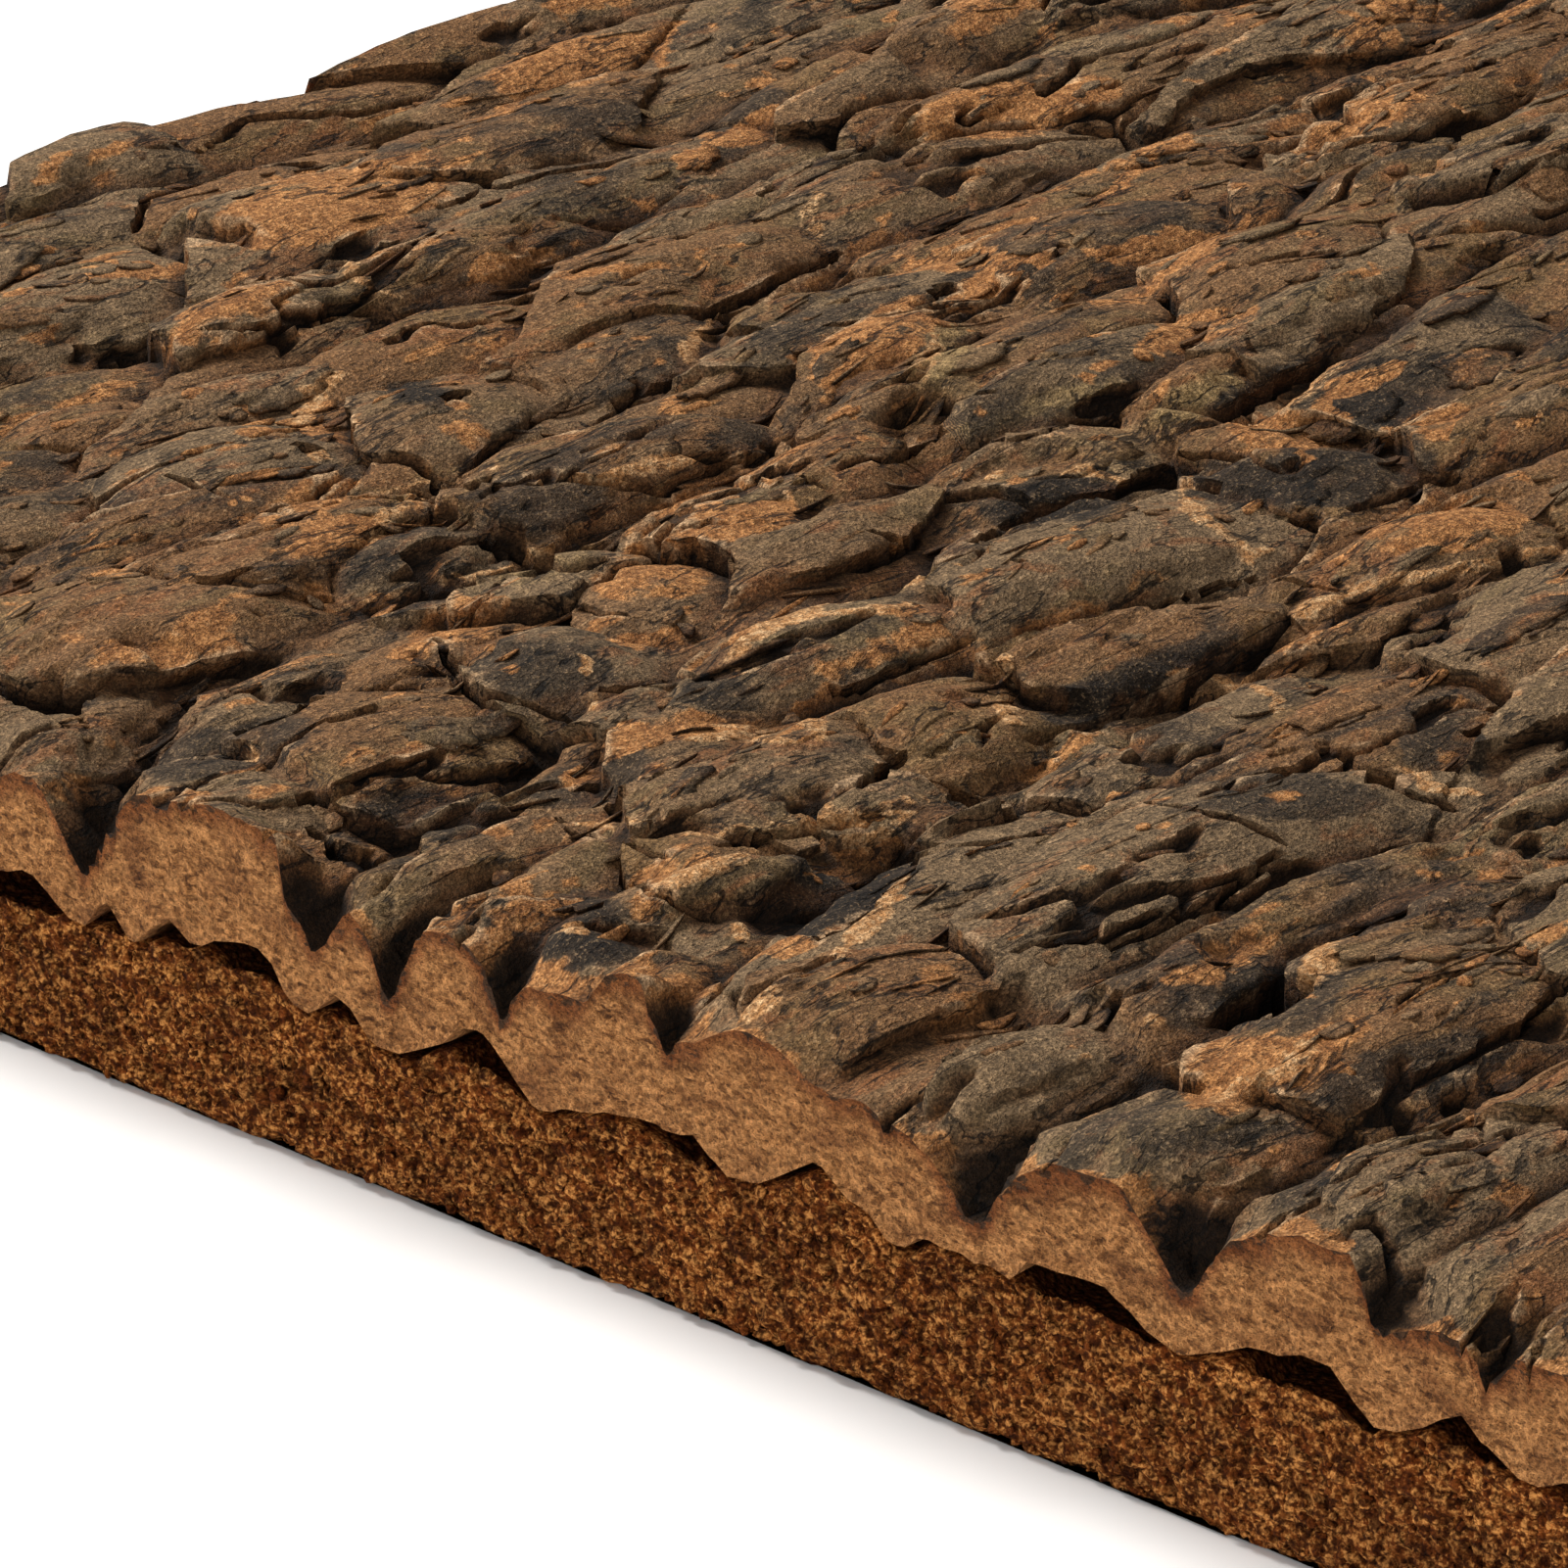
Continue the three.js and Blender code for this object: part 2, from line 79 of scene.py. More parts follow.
# Outline of the crust along the cut front edge: x, z
FRONT_CRUST = np.array([
    [-150, 24.5], [-143, 26.4], [-137, 21.5], [-132, 26], [-125, 27.6], [-119, 20.4], [-113, 25.6],
    [-106, 27.4], [-98, 21], [-91, 26.4], [-83, 27.8], [-75, 20.6], [-68, 25.8], [-60, 28.2],
    [-52, 26.6], [-46, 25.2], [-42, 26.4], [-39, 26.8], [-36, 23.4], [-32.8, 19.1], [-31.2, 22.4],
    [-29, 25.3], [-27, 27.6], [-24.5, 29.1], [-20, 29.7], [-14, 30.1], [-10, 30], [-8.6, 24],
    [-7, 22.3], [-5.5, 20.1], [-3.6, 22.6], [-1.2, 25.2], [0.6, 24.4], [3, 18.9], [5, 22.4],
    [7, 26], [9.5, 26.9], [12.5, 26.2], [14.6, 23], [15.8, 20.4], [17.2, 22.8], [19, 24.7],
    [22, 25.1], [25, 25.3], [28, 28.7], [31, 29.4], [32.4, 26.2], [34, 24.6], [37, 25.3],
    [40, 27.1], [43.5, 28.3], [47, 27], [50, 25.8], [55, 25.4], [60, 24.4], [63, 22.2],
    [66.3, 19.5], [68.6, 22], [71, 24.8], [75, 27], [80, 27.1], [83, 25], [87.5, 20],
    [90, 23.2], [92, 25.8], [96, 27.9], [103, 28.9], [105, 25.4], [106, 23.8], [109, 24.3],
    [113, 24.9], [116.5, 22.2], [119, 25], [123, 25.4], [129, 27.6], [135, 26.2], [140, 21.2],
    [144, 25], [150, 26.2],
])

# Scalloped seam along the cut front edge: x, z of the bark's inner face, z of the core
FRONT_SEAM = np.array([
    [-150, 15.6, 15.3], [-144, 17.2, 16.1], [-137, 14.6, 14.3], [-130, 17, 15.6], [-124, 16.4, 15.8],
    [-118, 14.4, 14.1], [-110, 17.4, 15.7], [-103, 16.2, 15.9], [-97, 14.5, 14.2], [-90, 17, 15.8],
    [-82, 16.6, 16.1], [-75, 14.3, 14], [-68, 16.6, 15.4], [-61, 17.3, 16], [-54, 14.9, 14.6],
    [-48, 15.8, 15.1], [-43, 16.3, 15.1], [-40, 17.1, 15.2], [-37.4, 16.2, 15.1],
    [-36.2, 15, 14.7], [-33, 14.3, 14], [-31.4, 16.2, 15.5], [-30, 16.9, 15.9], [-28.4, 15.6, 15.2],
    [-26.8, 14.4, 14.1], [-25, 16.2, 15.7], [-22.5, 17.7, 16.9], [-20, 16.6, 16.2],
    [-16, 18, 16.9], [-12, 18.5, 17.1], [-10.4, 17.4, 16.6], [-9, 15.1, 14.8], [-6.5, 14.4, 14.1],
    [-4.6, 15.4, 15], [-3, 16.8, 15.9], [-1.4, 16.5, 15.8], [1, 14.2, 13.7], [3.4, 13.8, 13.3],
    [7, 15, 14.7], [9.4, 16.5, 16], [11.4, 18.5, 16.5], [13.4, 18.8, 16.7], [15.4, 17.7, 16.2],
    [18.6, 14.8, 14.3], [20.5, 13.7, 13.3], [24, 15, 14.7], [28, 16, 15.6], [32, 16.3, 15.7],
    [35, 16.4, 15.6], [37, 16.9, 15.7], [38.8, 15.6, 15.1], [41, 14.5, 14.2], [45, 15.5, 15.2],
    [48, 17.5, 17.1], [50.2, 18.7, 18.2], [53, 17, 16.6], [55.6, 16.1, 15.6], [58.5, 14, 13.6],
    [62, 15.8, 15.5], [66, 15.6, 15.3], [70, 15.3, 15], [72, 17.2, 16.1], [75, 17.5, 16.2],
    [78.6, 17.7, 16.4], [82, 16.5, 15.6], [86.5, 14.5, 14.2], [91, 15.8, 15.5], [95, 17.5, 16.3],
    [101, 18.3, 16.6], [103, 17, 15.8], [106, 14.5, 14.2], [110, 16, 15.7], [113.6, 18.3, 17],
    [116.2, 16.8, 16.1], [120, 15, 14.7], [126, 16.8, 15.8], [132, 15.2, 14.9], [138, 17.3, 16],
    [144, 14.8, 14.5], [150, 16, 15.7],
])

# Furrows along the grain: width of the left slope, of the right slope, then y, x, depth to the back
FURROWS = [
    (5, 6, [[-150, -137, 6], [-60, -141, 6.5], [0, -138, 5], [70, -141, 7], [150, -138, 6]]),
    (8, 5, [[-150, -119, 7], [-115, -115, 4], [-80, -110, 7], [-55, -108, 6], [-15, -109, 3.5],
            [20, -113, 6.5], [90, -116, 3], [150, -117, 7]]),
    (6, 5, [[-150, -98, 6.5], [-90, -95, 3], [-60, -93.5, 7], [-25, -94, 7.4], [20, -97, 6],
            [60, -98, 7], [95, -96, 6], [150, -100, 4]]),
    (7, 5, [[-150, -75, 7], [-115, -70, 3], [-80, -61, 7.6], [-62, -62, 7], [-40, -65, 5],
            [-25, -70, 6.4], [0, -74, 5], [50, -75, 7.2], [100, -71, 6], [150, -74, 7]]),
    (5, 6, [[-150, -32.8, 8], [-138, -37, 7.6], [-126, -43, 7.4], [-104, -45, 5], [-84, -42, 7.4],
            [-62, -43, 7.4], [-44, -45, 5], [-10, -47, 3], [30, -49, 6], [85, -50, 7], [150, -44, 5]]),
    (5, 5, [[-150, -20, 0], [-72, -24, 0], [-54, -26, 4], [-42, -30, 7.4], [-28, -27, 5],
            [-12, -16, 6.6], [6, -18, 6], [50, -25, 5], [100, -24, 7], [150, -20, 6]]),
    (8, 4.5, [[-150, -5.5, 7.2], [-130, -9, 5], [-110, -13, 7], [-88, -15, 4], [-68, -13, 7.4],
              [-50, -17, 8], [-34, -12, 8], [-16, -3, 4], [10, 0, 3], [60, 6, 7], [110, 9, 5],
              [150, 12, 7]]),
    (5, 4.5, [[-150, 3, 8.3], [-136, 4, 5], [-118, 3, 2], [-92, 2, 6], [-65, 5, 6.6], [-46, 10, 7],
              [-28, 9, 4], [-12, 10, 7], [20, 18, 6], [70, 25, 4], [150, 31, 6]]),
    (4.5, 4.5, [[-150, 15.8, 6.6], [-138, 13, 4], [-124, 12, 1], [-100, 12, 0], [150, 42, 0]]),
    (6, 4, [[-150, 34, 4.4], [-138, 30, 6], [-122, 26, 7.2], [-104, 24, 6], [-88, 23, 8.4],
            [-56, 21, 8.4], [-38, 24, 4], [0, 33, 6], [60, 42, 7.4], [150, 52, 6]]),
    (7, 6, [[-150, 55, 1], [-126, 54, 2], [-116, 54, 6.4], [-84, 55, 7], [-60, 57, 6], [-20, 55, 3],
            [40, 61, 7], [100, 70, 5], [150, 73, 7]]),
    (7, 5.5, [[-150, 66.3, 8.2], [-128, 69, 6], [-108, 65, 8.6], [-88, 67, 4], [-50, 73, 7],
              [0, 79, 7], [60, 86, 5], [150, 92, 7]]),
    (5.5, 5.5, [[-150, 87.5, 7.6], [-110, 91, 6], [-60, 95, 7.4], [0, 99, 5], [70, 103, 7],
                [150, 110, 6]]),
    (4, 5, [[-150, 106, 3.4], [-110, 108, 6], [-50, 113, 7], [0, 117, 6], [60, 122, 7],
            [150, 127, 5]]),
    (4, 4, [[-150, 116.5, 5], [-120, 119, 2], [-90, 122, 0], [150, 137, 0]]),
    (6, 5, [[-150, 140, 6], [-60, 137, 7], [0, 140, 5], [80, 142, 7], [150, 143, 6]]),
]

# Hollows broken out of the crust: x, y, half width, half length, lean in degrees, depth
HOLLOWS = [
    (-44, -124, 9, 2.8, 12, 2.8), (-51, -137, 4, 4, 0, 3.5), (-35.5, -38, 3.5, 6, 10, 4.5),
    (-20, -40, 4.5, 11, -24, 3.4), (64, -110, 4.5, 8.5, -8, 5), (25, -116, 4.5, 12, -14, 1.6),
    (30.5, -144, 4.5, 4.5, 0, 3), (-121, -47, 7.5, 3.6, 10, 4.5), (-25, -109, 9, 3, 6, 1.8),
    (6, -124, 8, 2.8, -8, 1.4), (-66, -107, 3, 8, -28, 2.4), (-34, -87, 5, 2.6, 30, 2),
    (-100, 44, 7, 5, 20, 4), (-60, 52, 4, 9, -20, 4), (36, 84, 8, 5, -14, 5), (-22, 118, 5, 9, 16, 5),
    (84, 36, 5, 9, -20, 4.5), (112, -36, 8, 4.5, 12, 4.5), (124, 92, 5, 10, 14, 4.5),
    (60, 130, 8, 5, -10, 4.5), (-122, 112, 8, 5, 14, 5), (-84, 126, 4, 9, -18, 4),
    (2, 62, 7, 4, 8, 4.5), (104, -96, 4, 8, 12, 4), (-104, -128, 8, 5, -12, 4.5),
    (40, -14, 7, 5, 14, 4),
]

# Plates of crust that stand out: x, y, half width, half length, lean in degrees, lift
PLATES = [
    (-3, -52, 7, 17, 4, 0.9), (15, -53, 4.5, 19, -24, 1.1), (-6.5, -82, 7.5, 12, -3, 0.7),
    (9, -84, 7, 8, -10, 0.2), (5, -109, 8, 14, 10, 0.8), (-21, -101, 7.5, 8.5, -6, 1),
    (-23, -123, 9, 11, 8, 0.5), (-24, -142, 9, 9, -8, 0.1), (-11, -143, 6, 9, 6, -0.4),
    (-56, -116, 10, 12, -12, 0.9), (-50, -141, 9, 9, 6, 0.1), (-34, -65, 8, 9, 14, 0.8),
    (-30, -82, 6, 8, -5, -0.2), (-37, -86, 4, 10, 3, 0.7), (-53, -62, 7.5, 16, -5, 1),
    (-52, -86, 6, 9, 8, -0.1), (-34, -103, 5, 10, -4, -0.5), (-52, -22, 6, 18, 18, 0.8),
    (-34, -20, 4.5, 17, 4, 0.9), (-23, -12, 4, 9, 8, 0.6), (-22, -33, 7.5, 11, 8, 0.2),
    (-8, -16, 8, 7, 12, 0.5), (18, -25, 7, 10, -8, 0.6), (20, -101, 4.5, 7, -40, 0.9),
    (12, -121, 6.5, 4, 20, 0.3), (20, -121, 3, 12, -22, 0.6), (44, -98, 9, 24, 2, 0.9),
    (41, -138, 8, 13, -4, 0.7), (17, -144, 7, 7, 0, 0.4), (27, -143, 4, 7, -5, 0.8),
    (62, -102, 6, 18, 3, 0.9), (60, -138, 7, 12, -3, 0), (78, -111, 8, 15, 3, 0.7),
    (80, -140, 7, 11, -2, 0.6), (-120, -29, 10, 20, 3, 0.8), (-101, -26, 5, 22, -2, 0.5),
    (-104, -56, 5, 11, 4, 0.9), (-97, -88, 5, 10, 2, 0.2), (-71, -64, 7, 10, 6, 0.7),
    (-79, -84, 7, 11, -8, 0.1), (-82, -20, 7, 18, 2, 0.8), (-83, 22, 8, 19, -4, 0.2),
    (-59, 16, 8, 16, -3, 0.4), (-38, 22, 7, 14, 6, 0.7), (97, -138, 6.5, 12, 0, 0.8),
]

# Sharp-edged holes where crust has broken away: x, y, half width, half length, lean, depth
VOIDS = [
    (27, -121, 4.6, 11, 10, 1.1), (-4, -120, 5.2, 7, 0, 0.8), (-74, -60, 1.4, 1.8, 0, 3),
    (-66, -92.5, 0.9, 1.5, 0, 3), (-75, -79, 2, 1.4, 0, 3), (-17, -7, 1.7, 9.5, 5, 4),
    (-32.6, -41.5, 1.1, 5, 4, 4), (-11, -31, 2.2, 5, -10, 2),
    (-65, -28.5, 1.4, 1.8, 0, 2.6), (-58, -7, 1.4, 2, 0, 2), (67.5, -115.5, 2.2, 6.5, 0, 4),
    (48, -60, 1, 1.5, 0, 2.5), (-3, -118.5, 0.8, 1.5, 0, 4), (1, -115, 0.9, 1.2, 0, 4),
    (2.6, -121, 0.8, 1.4, 0, 4), (0.6, -126, 1.2, 0.8, 0, 4), (-18, -137, 1.5, 1, 0, 3),
    (-31, -77, 0.7, 1, 0, 2), (-7, -57, 0.5, 0.6, 0, 1.5), (40, -113, 0.8, 0.8, 0, 0.4),
    (28, -110.5, 1.2, 2, 0, 3.6), (32.5, -126, 1.2, 4.4, 10, 3.4), (-33, -55, 1.6, 0.5, 0, 1.6),
]

# Narrow black cracks: half width, depth, then points x, y
CRACKS = [
    (1.5, 3.4, (-12.9, -56.5), (-13.6, -49), (-13.1, -42), (-10.6, -36)),
    (0.7, 2, (-10.4, -57), (-11.2, -62), (-10.5, -66)),
    (0.45, 1.2, (12, -44), (10, -50), (8, -60), (5, -70)),
    (1.9, 5.4, (20, -51), (23, -60), (22, -65), (23, -72), (22, -80), (20, -87)),
    (1.4, 3.6, (42, -72.5), (49, -74.5), (57, -75)), (0.9, 3.6, (19, -99.6), (25, -100.6), (30, -100)),
    (0.6, 1.6, (1.6, -73), (1, -82), (1, -93)), (0.7, 2.2, (-10, -95), (-12.4, -99), (-15, -104)),
    (1.4, 3, (13.4, -97), (15, -101), (15.6, -105)),
    (0.7, 2.2, (-30, -110), (-22, -111), (-13, -110.4)), (0.6, 2.2, (3, -127.4), (13, -126.4)),
    (0.6, 1.8, (21.6, -106), (18, -115), (15, -122)), (1.0, 3, (-33, -119), (-31.6, -126), (-32, -133)),
    (0.5, 1.4, (15, -132), (20, -133), (25, -132.4)), (1.1, 2.2, (-14, -142), (-9, -144), (-4, -145)),
    (0.8, 2.4, (-41, -46), (-43, -55), (-43, -65), (-50, -68.5), (-55, -75.5), (-59.5, -81)),
    (0.6, 2, (-31, -74.5), (-28, -74.2), (-24, -75)), (0.6, 2, (-34, -92.4), (-30, -91.4), (-25, -89.5)),
    (0.8, 2.2, (-35, -81.5), (-37, -87), (-40.5, -93)), (0.7, 2, (-33.5, -105), (-31, -107), (-28, -108)),
    (0.6, 2, (-57.6, -104), (-57.6, -108), (-59, -109)), (0.5, 1.8, (-80, -92), (-76, -92.6), (-72, -92.4)),
    (0.8, 2.4, (-13, -25.5), (-8, -23), (-3, -24)), (0.7, 2, (-25, -26), (-26, -33), (-29, -38)),
    (1.1, 3, (8, -27), (9, -18), (10.4, -12)), (1.0, 2.4, (-73.6, -5), (-73, -15), (-71, -29)),
    (0.6, 1.6, (-60, -23), (-57, -15), (-54, -8)), (0.8, 2, (-61.6, -39), (-62, -51)),
    (0.5, 1.6, (-36, -26), (-38, -36), (-36, -42)), (0.6, 1.6, (-22, -60.6), (-18, -61)),
    (0.6, 1.8, (36, -91), (44, -89), (50, -90)), (0.7, 2.2, (51, -92), (53, -104), (52.6, -117)),
    (0.6, 2, (82, -84), (84, -97), (87, -108)), (0.6, 2, (-104, -64), (-99, -58), (-97, -48)),
    (0.7, 2, (-112, -22), (-111, -8), (-108, 4)), (0.6, 2, (-90, 2), (-92, 14), (-90, 27)),
]

# Torn pale edges: half width, strength, then points x, y
TORN = [
    (1.4, 1, (20, -51.4), (19.8, -47), (21, -40), (24, -33), (28.4, -21)),
    (1.1, 0.9, (-53, -71), (-48.6, -66), (-45.4, -55)),
    (0.6, 0.8, (-10.6, -61), (-11, -71)),
    (0.7, 0.9, (23, -65), (30, -66), (33, -69)),
    (1.0, 0.9, (-7, -71), (-11, -77), (-13.4, -81), (-12.6, -88), (-9, -93)),
    (0.9, 0.9, (7, -75), (10, -79), (17, -86)), (0.7, 0.8, (-3, -103), (4, -97), (7, -101)),
    (0.9, 1, (-2, -107), (0, -103), (5, -101.5)), (0.6, 0.9, (-21, -99.6), (-18, -102.6)),
    (0.6, 0.9, (-15, -105), (-12.4, -107.6)), (0.8, 0.7, (3, -125.6), (8, -123), (13, -120.4)),
    (1.4, 0.55, (22, -104), (18, -111), (12.4, -121)), (1.3, 0.6, (23, -107), (22.4, -120)),
    (1.3, 0.9, (17.6, -121), (17, -132)), (0.9, 1, (30, -116), (34, -123), (37, -132)),
    (1.1, 1, (-44, -46.6), (-42.4, -50), (-44, -54)), (0.9, 0.9, (-47, -57.6), (-50, -66)),
    (0.9, 0.7, (-41.4, -80), (-40.4, -88), (-43.6, -95), (-45.6, -106)),
    (0.9, 0.9, (-58.6, -81), (-57.4, -87), (-54.6, -91)), (1.2, 1, (-73.6, -79.6), (-71.6, -81)),
    (1.1, 0.5, (-57.6, -71), (-60, -77), (-62.4, -84)), (1.0, 0.9, (-18, -36.6), (-13, -34.4)),
    (0.7, 0.9, (-22.4, -40), (-22, -43)), (1.4, 0.6, (-17.4, 6), (-15, -3), (-12.6, -11)),
    (1.0, 0.8, (-7.6, -32.6), (-2, -37), (4, -39.6), (9, -42.4)), (0.9, 1, (8.4, -38.6), (8, -41.4)),
    (0.8, 0.7, (36.6, -139), (38.6, -142), (38.6, -147)), (1.2, 0.9, (65, -104.6), (69, -110)),
    (1.1, 1, (62.6, -124), (64.4, -124.6)), (0.9, 1, (64, -133.4), (64.2, -134.6)),
    (1.1, 0.9, (16.4, -142), (18, -142.4)), (0.9, 0.8, (5.4, -138), (7, -138.6)),
    (1.2, 0.8, (13, -135), (15, -135.4)), (0.9, 0.8, (-28.6, -133.4), (-27, -135)),
    (0.8, 0.8, (-20.4, -127.6), (-19.6, -129)), (0.8, 0.9, (39.6, -113), (40.4, -113.4)),
    (0.8, 0.8, (26, -132), (29, -135)), (1.0, 0.8, (-87, -62), (-84, -70), (-79.6, -75)),
    (0.9, 0.7, (-70, -28), (-66, -36), (-60, -41)), (1.0, 0.8, (-50, -17), (-45, -26), (-40, -31)),
    (0.9, 0.7, (47, -71), (53, -72), (57, -71)), (1.0, 0.7, (74, -118), (77, -124), (76, -133)),
    (0.8, 0.7, (-108, -40), (-102, -44), (-96, -44)), (0.9, 0.7, (-86, 6), (-82, 0), (-78, -3)),
]

# Sooty plates: x, y, half width, half length, lean, strength
SOOTY = [
    (18.6, -72, 3.6, 12, -3, 0.95), (27, -121, 5.4, 12, 10, 0.95), (-21.5, -104, 6.2, 5.8, -6, 0.6),
    (-76.5, -62, 4.6, 2.6, 0, 0.9), (17, -143, 7.5, 6.5, 0, 0.9), (-18, -6, 2.6, 9.5, 5, 0.95),
    (-6, -5, 5, 7, -10, 0.85), (-3, -21, 3.5, 4.6, 10, 0.8), (3, -20, 8, 9, 0, 0.65),
    (-4, -28, 9, 6, 10, 0.8), (-55, -2, 4, 7, 25, 0.7), (-14, -43, 6, 7.5, -15, 0.95),
    (-8, -134, 7, 6, 10, 0.7), (-30, -134, 5, 10, 0, 0.5), (-4, -118, 6, 7, 0, 0.6),
    (50, -66, 6, 3, 0, 0.6), (67, -115, 3.4, 8, 0, 0.8),
    (45, -82, 8, 5, 30, 0.4), (-48, -76, 3.6, 9, 12, 0.45), (-95, -14, 3, 12, 0, 0.5),
    (84, -118, 4, 9, -5, 0.5), (-110, 20, 5, 9, 10, 0.5), (30, 40, 6, 12, -10, 0.5),
]

# Pale olive skin: x, y, half width, half length, lean, strength
PALE = [
    (-20.5, -14, 3.4, 9, 15, 1), (-30, -26, 3.4, 12, -6, 0.8), (-18, -29, 6.4, 8, 0, 0.4),
    (-60, -79, 2.6, 7, 15, 0.5), (-46.5, -21, 3, 10, 30, 0.8), (17, -113, 4, 9, -30, 0.35),
    (-37.6, -86, 2.6, 7, 0, 0.5), (46, -52, 6, 9, 10, 0.25), (-57, 12, 4, 8, 10, 0.4),
    (58, 0, 5, 12, -8, 0.5), (-100, 60, 5, 10, 8, 0.5), (90, -60, 5, 9, 5, 0.4),
]

# Places where the grey skin has flaked off and warm cork shows: x, y, half width, half length, lean
FRESH = [
    (-35, -66, 7, 8.5, 14), (-29.6, -81, 4.8, 6.6, -5), (-35, -101, 3.6, 7, 14), (-53, -23, 4.4, 14, 22),
    (1, -3.4, 3.6, 5.6, 10), (-32, 0, 3.2, 9, 0), (-62, 2, 2.2, 5.4, 12), (-67.6, -65.6, 1.9, 7.4, 50),
    (-76, -74, 4.4, 2.2, 24), (-65, -89, 3.4, 7.6, 25), (-81, -48, 1.8, 5.4, 5), (-9, -15, 6, 5, 12),
    (17, -24, 6, 9, -8), (60, -110, 2.4, 9, 0), (75, -126, 5, 8, 2), (-120, -30, 8, 16, 3),
    (-107, -56, 3.5, 10, 4), (-50, -124, 9, 2.2, 12), (26.6, -146.6, 2.4, 3.6, 0), (8, -144.6, 1.6, 3, 0),
    (32, -144, 2.2, 4, 0), (-24.6, -149, 2.6, 3.2, 0), (-13, -147.4, 2.2, 2.8, 0), (49, -66.4, 1.6, 2.2, 0),
    (-101, -60, 4, 9, -10), (-3, -80, 2.4, 9, -3), (-5, -105, 3, 4, 0), (-88, 40, 7, 14, -6),
    (-60, 60, 6, 14, 8), (-112, 70, 6, 12, 4), (-44, 92, 7, 12, -8), (-132, 20, 5, 12, 6),
    (-47, 18, 2.6, 7, 24), (-57, -27, 2.2, 4, 0), (70, 20, 5, 13, -6), (20, 90, 6, 12, -8),
    (110, -20, 5, 12, -5), (96, 60, 6, 12, -8), (-13, -149.6, 3.4, 3.6, -20), (12, -150, 3.4, 3.4, 10),
    (6.7, -138.4, 1.3, 3, 20), (8.8, -144.6, 1.8, 2, 0), (-37, -151, 4, 4, 0), (44, -150, 4, 3, 10),
]


def smooth(share: Array) -> Array:
    """Soft step from 0 to 1, held at both ends."""
    s = np.clip(share, 0.0, 1.0)
    return s * s * (3.0 - 2.0 * s)


def chance(ix: Array, iy: Array, seed: int) -> Array:
    """Settled random numbers for whole-number places.

    Args:
        ix: whole numbers across.
        iy: whole numbers along.
        seed: which set of numbers.

    Returns:
        Numbers from 0 to 1, the same at every run.
    """
    with np.errstate(over="ignore"):
        h = np.asarray(ix).astype(np.int64).astype(np.uint32) * np.uint32(374761393)
        h = h + np.asarray(iy).astype(np.int64).astype(np.uint32) * np.uint32(668265263)
        h = h + np.uint32((seed * 2246822519) & 0xFFFFFFFF)
        h = (h ^ (h >> np.uint32(13))) * np.uint32(1274126177)
        h = h ^ (h >> np.uint32(16))
    return h / 4294967296.0


def swell(x: Array, y: Array, seed: int) -> Array:
    """Soft random swell.

    Args:
        x: places across, one random number to a unit.
        y: places along, one random number to a unit.
        seed: which set of numbers.

    Returns:
        Heights from -1 to 1.
    """
    ix, iy = np.floor(x), np.floor(y)
    sx, sy = smooth(x - ix), smooth(y - iy)
    near = chance(ix, iy, seed) * (1 - sx) + chance(ix + 1, iy, seed) * sx
    far = chance(ix, iy + 1, seed) * (1 - sx) + chance(ix + 1, iy + 1, seed) * sx
    return (near * (1 - sy) + far * sy) * 2 - 1


def rough(x: Array, y: Array, seed: int, octaves: int = 3) -> Array:
    """Swells on swells, each half the size of the one before.

    Args:
        x: places across, in units of the largest swell.
        y: places along, in units of the largest swell.
        seed: which set of numbers.
        octaves: how many sizes.

    Returns:
        Heights of about -1 to 1.
    """
    total, size, reach = np.zeros(np.broadcast(x, y).shape), 1.0, 0.0
    for k in range(octaves):
        total = total + size * swell(x * 2**k + 17.3 * k, y * 2**k - 9.1 * k, seed + k)
        reach += size
        size *= 0.5
    return total / reach


class Grain(Enum):
    """Random roughness: its largest swells across and along in mm, seed, sizes and strength."""

    BENT_ACROSS = (3, 4.4, 51, 4, 0.6)
    BENT_ALONG = (3, 4.4, 55, 4, 1.1)
    GROWN_ACROSS = (9, 17, 21, 1, 1.0)
    GROWN_ALONG = (10, 19, 22, 1, 2.0)
    CUT_LINE = (2.6, 1, 56, 4, 0.4)
    SEEN_ACROSS = (2.2, 3.2, 41, 4, 0.7)
    SEEN_ALONG = (2.2, 3.2, 45, 4, 1.0)
    SAWN = (5, 8, 75, 3, 4.5)
    LAYERS = (9, 28, 83, 5, 1.0)
    THIN_LAYERS = (2.8, 9, 88, 4, 1.0)
    SPLIT_LINES = (7, 34, 93, 4, 1.0)
    LEDGES = (5, 12, 101, 3, 0.5)
    FINE = (1.9, 3.8, 115, 2, 0.16)
    FINEST = (0.9, 1.3, 118, 2, 0.1)
    SCALLOPS = (18, 40, 41, 1, 0.35)
    INNER_FACE = (30, 21, 42, 1, 0.7)
    FRAYED_FOOT = (1.9, 1, 143, 4, 0.45)
    SAW_MARKS = (3.2, 2.2, 131, 2, 0.24)
    SAW_SCRATCHES = (0.9, 0.8, 135, 2, 0.16)
    EATEN_EDGE = (1.2, 1, 141, 3, 0.3)
    WAVY_RUN = (1.3, 1.3, 151, 1, 0.45)
    WAVY_HEIGHT = (1.3, 1.3, 152, 1, 0.45)

    def at(self, x: Array, y: Array) -> Array:
        """Heights of about minus to plus its strength at places in mm."""
        across, along, seed, octaves, strength = self.value
        return strength * rough(x / across, y / along, seed, octaves)


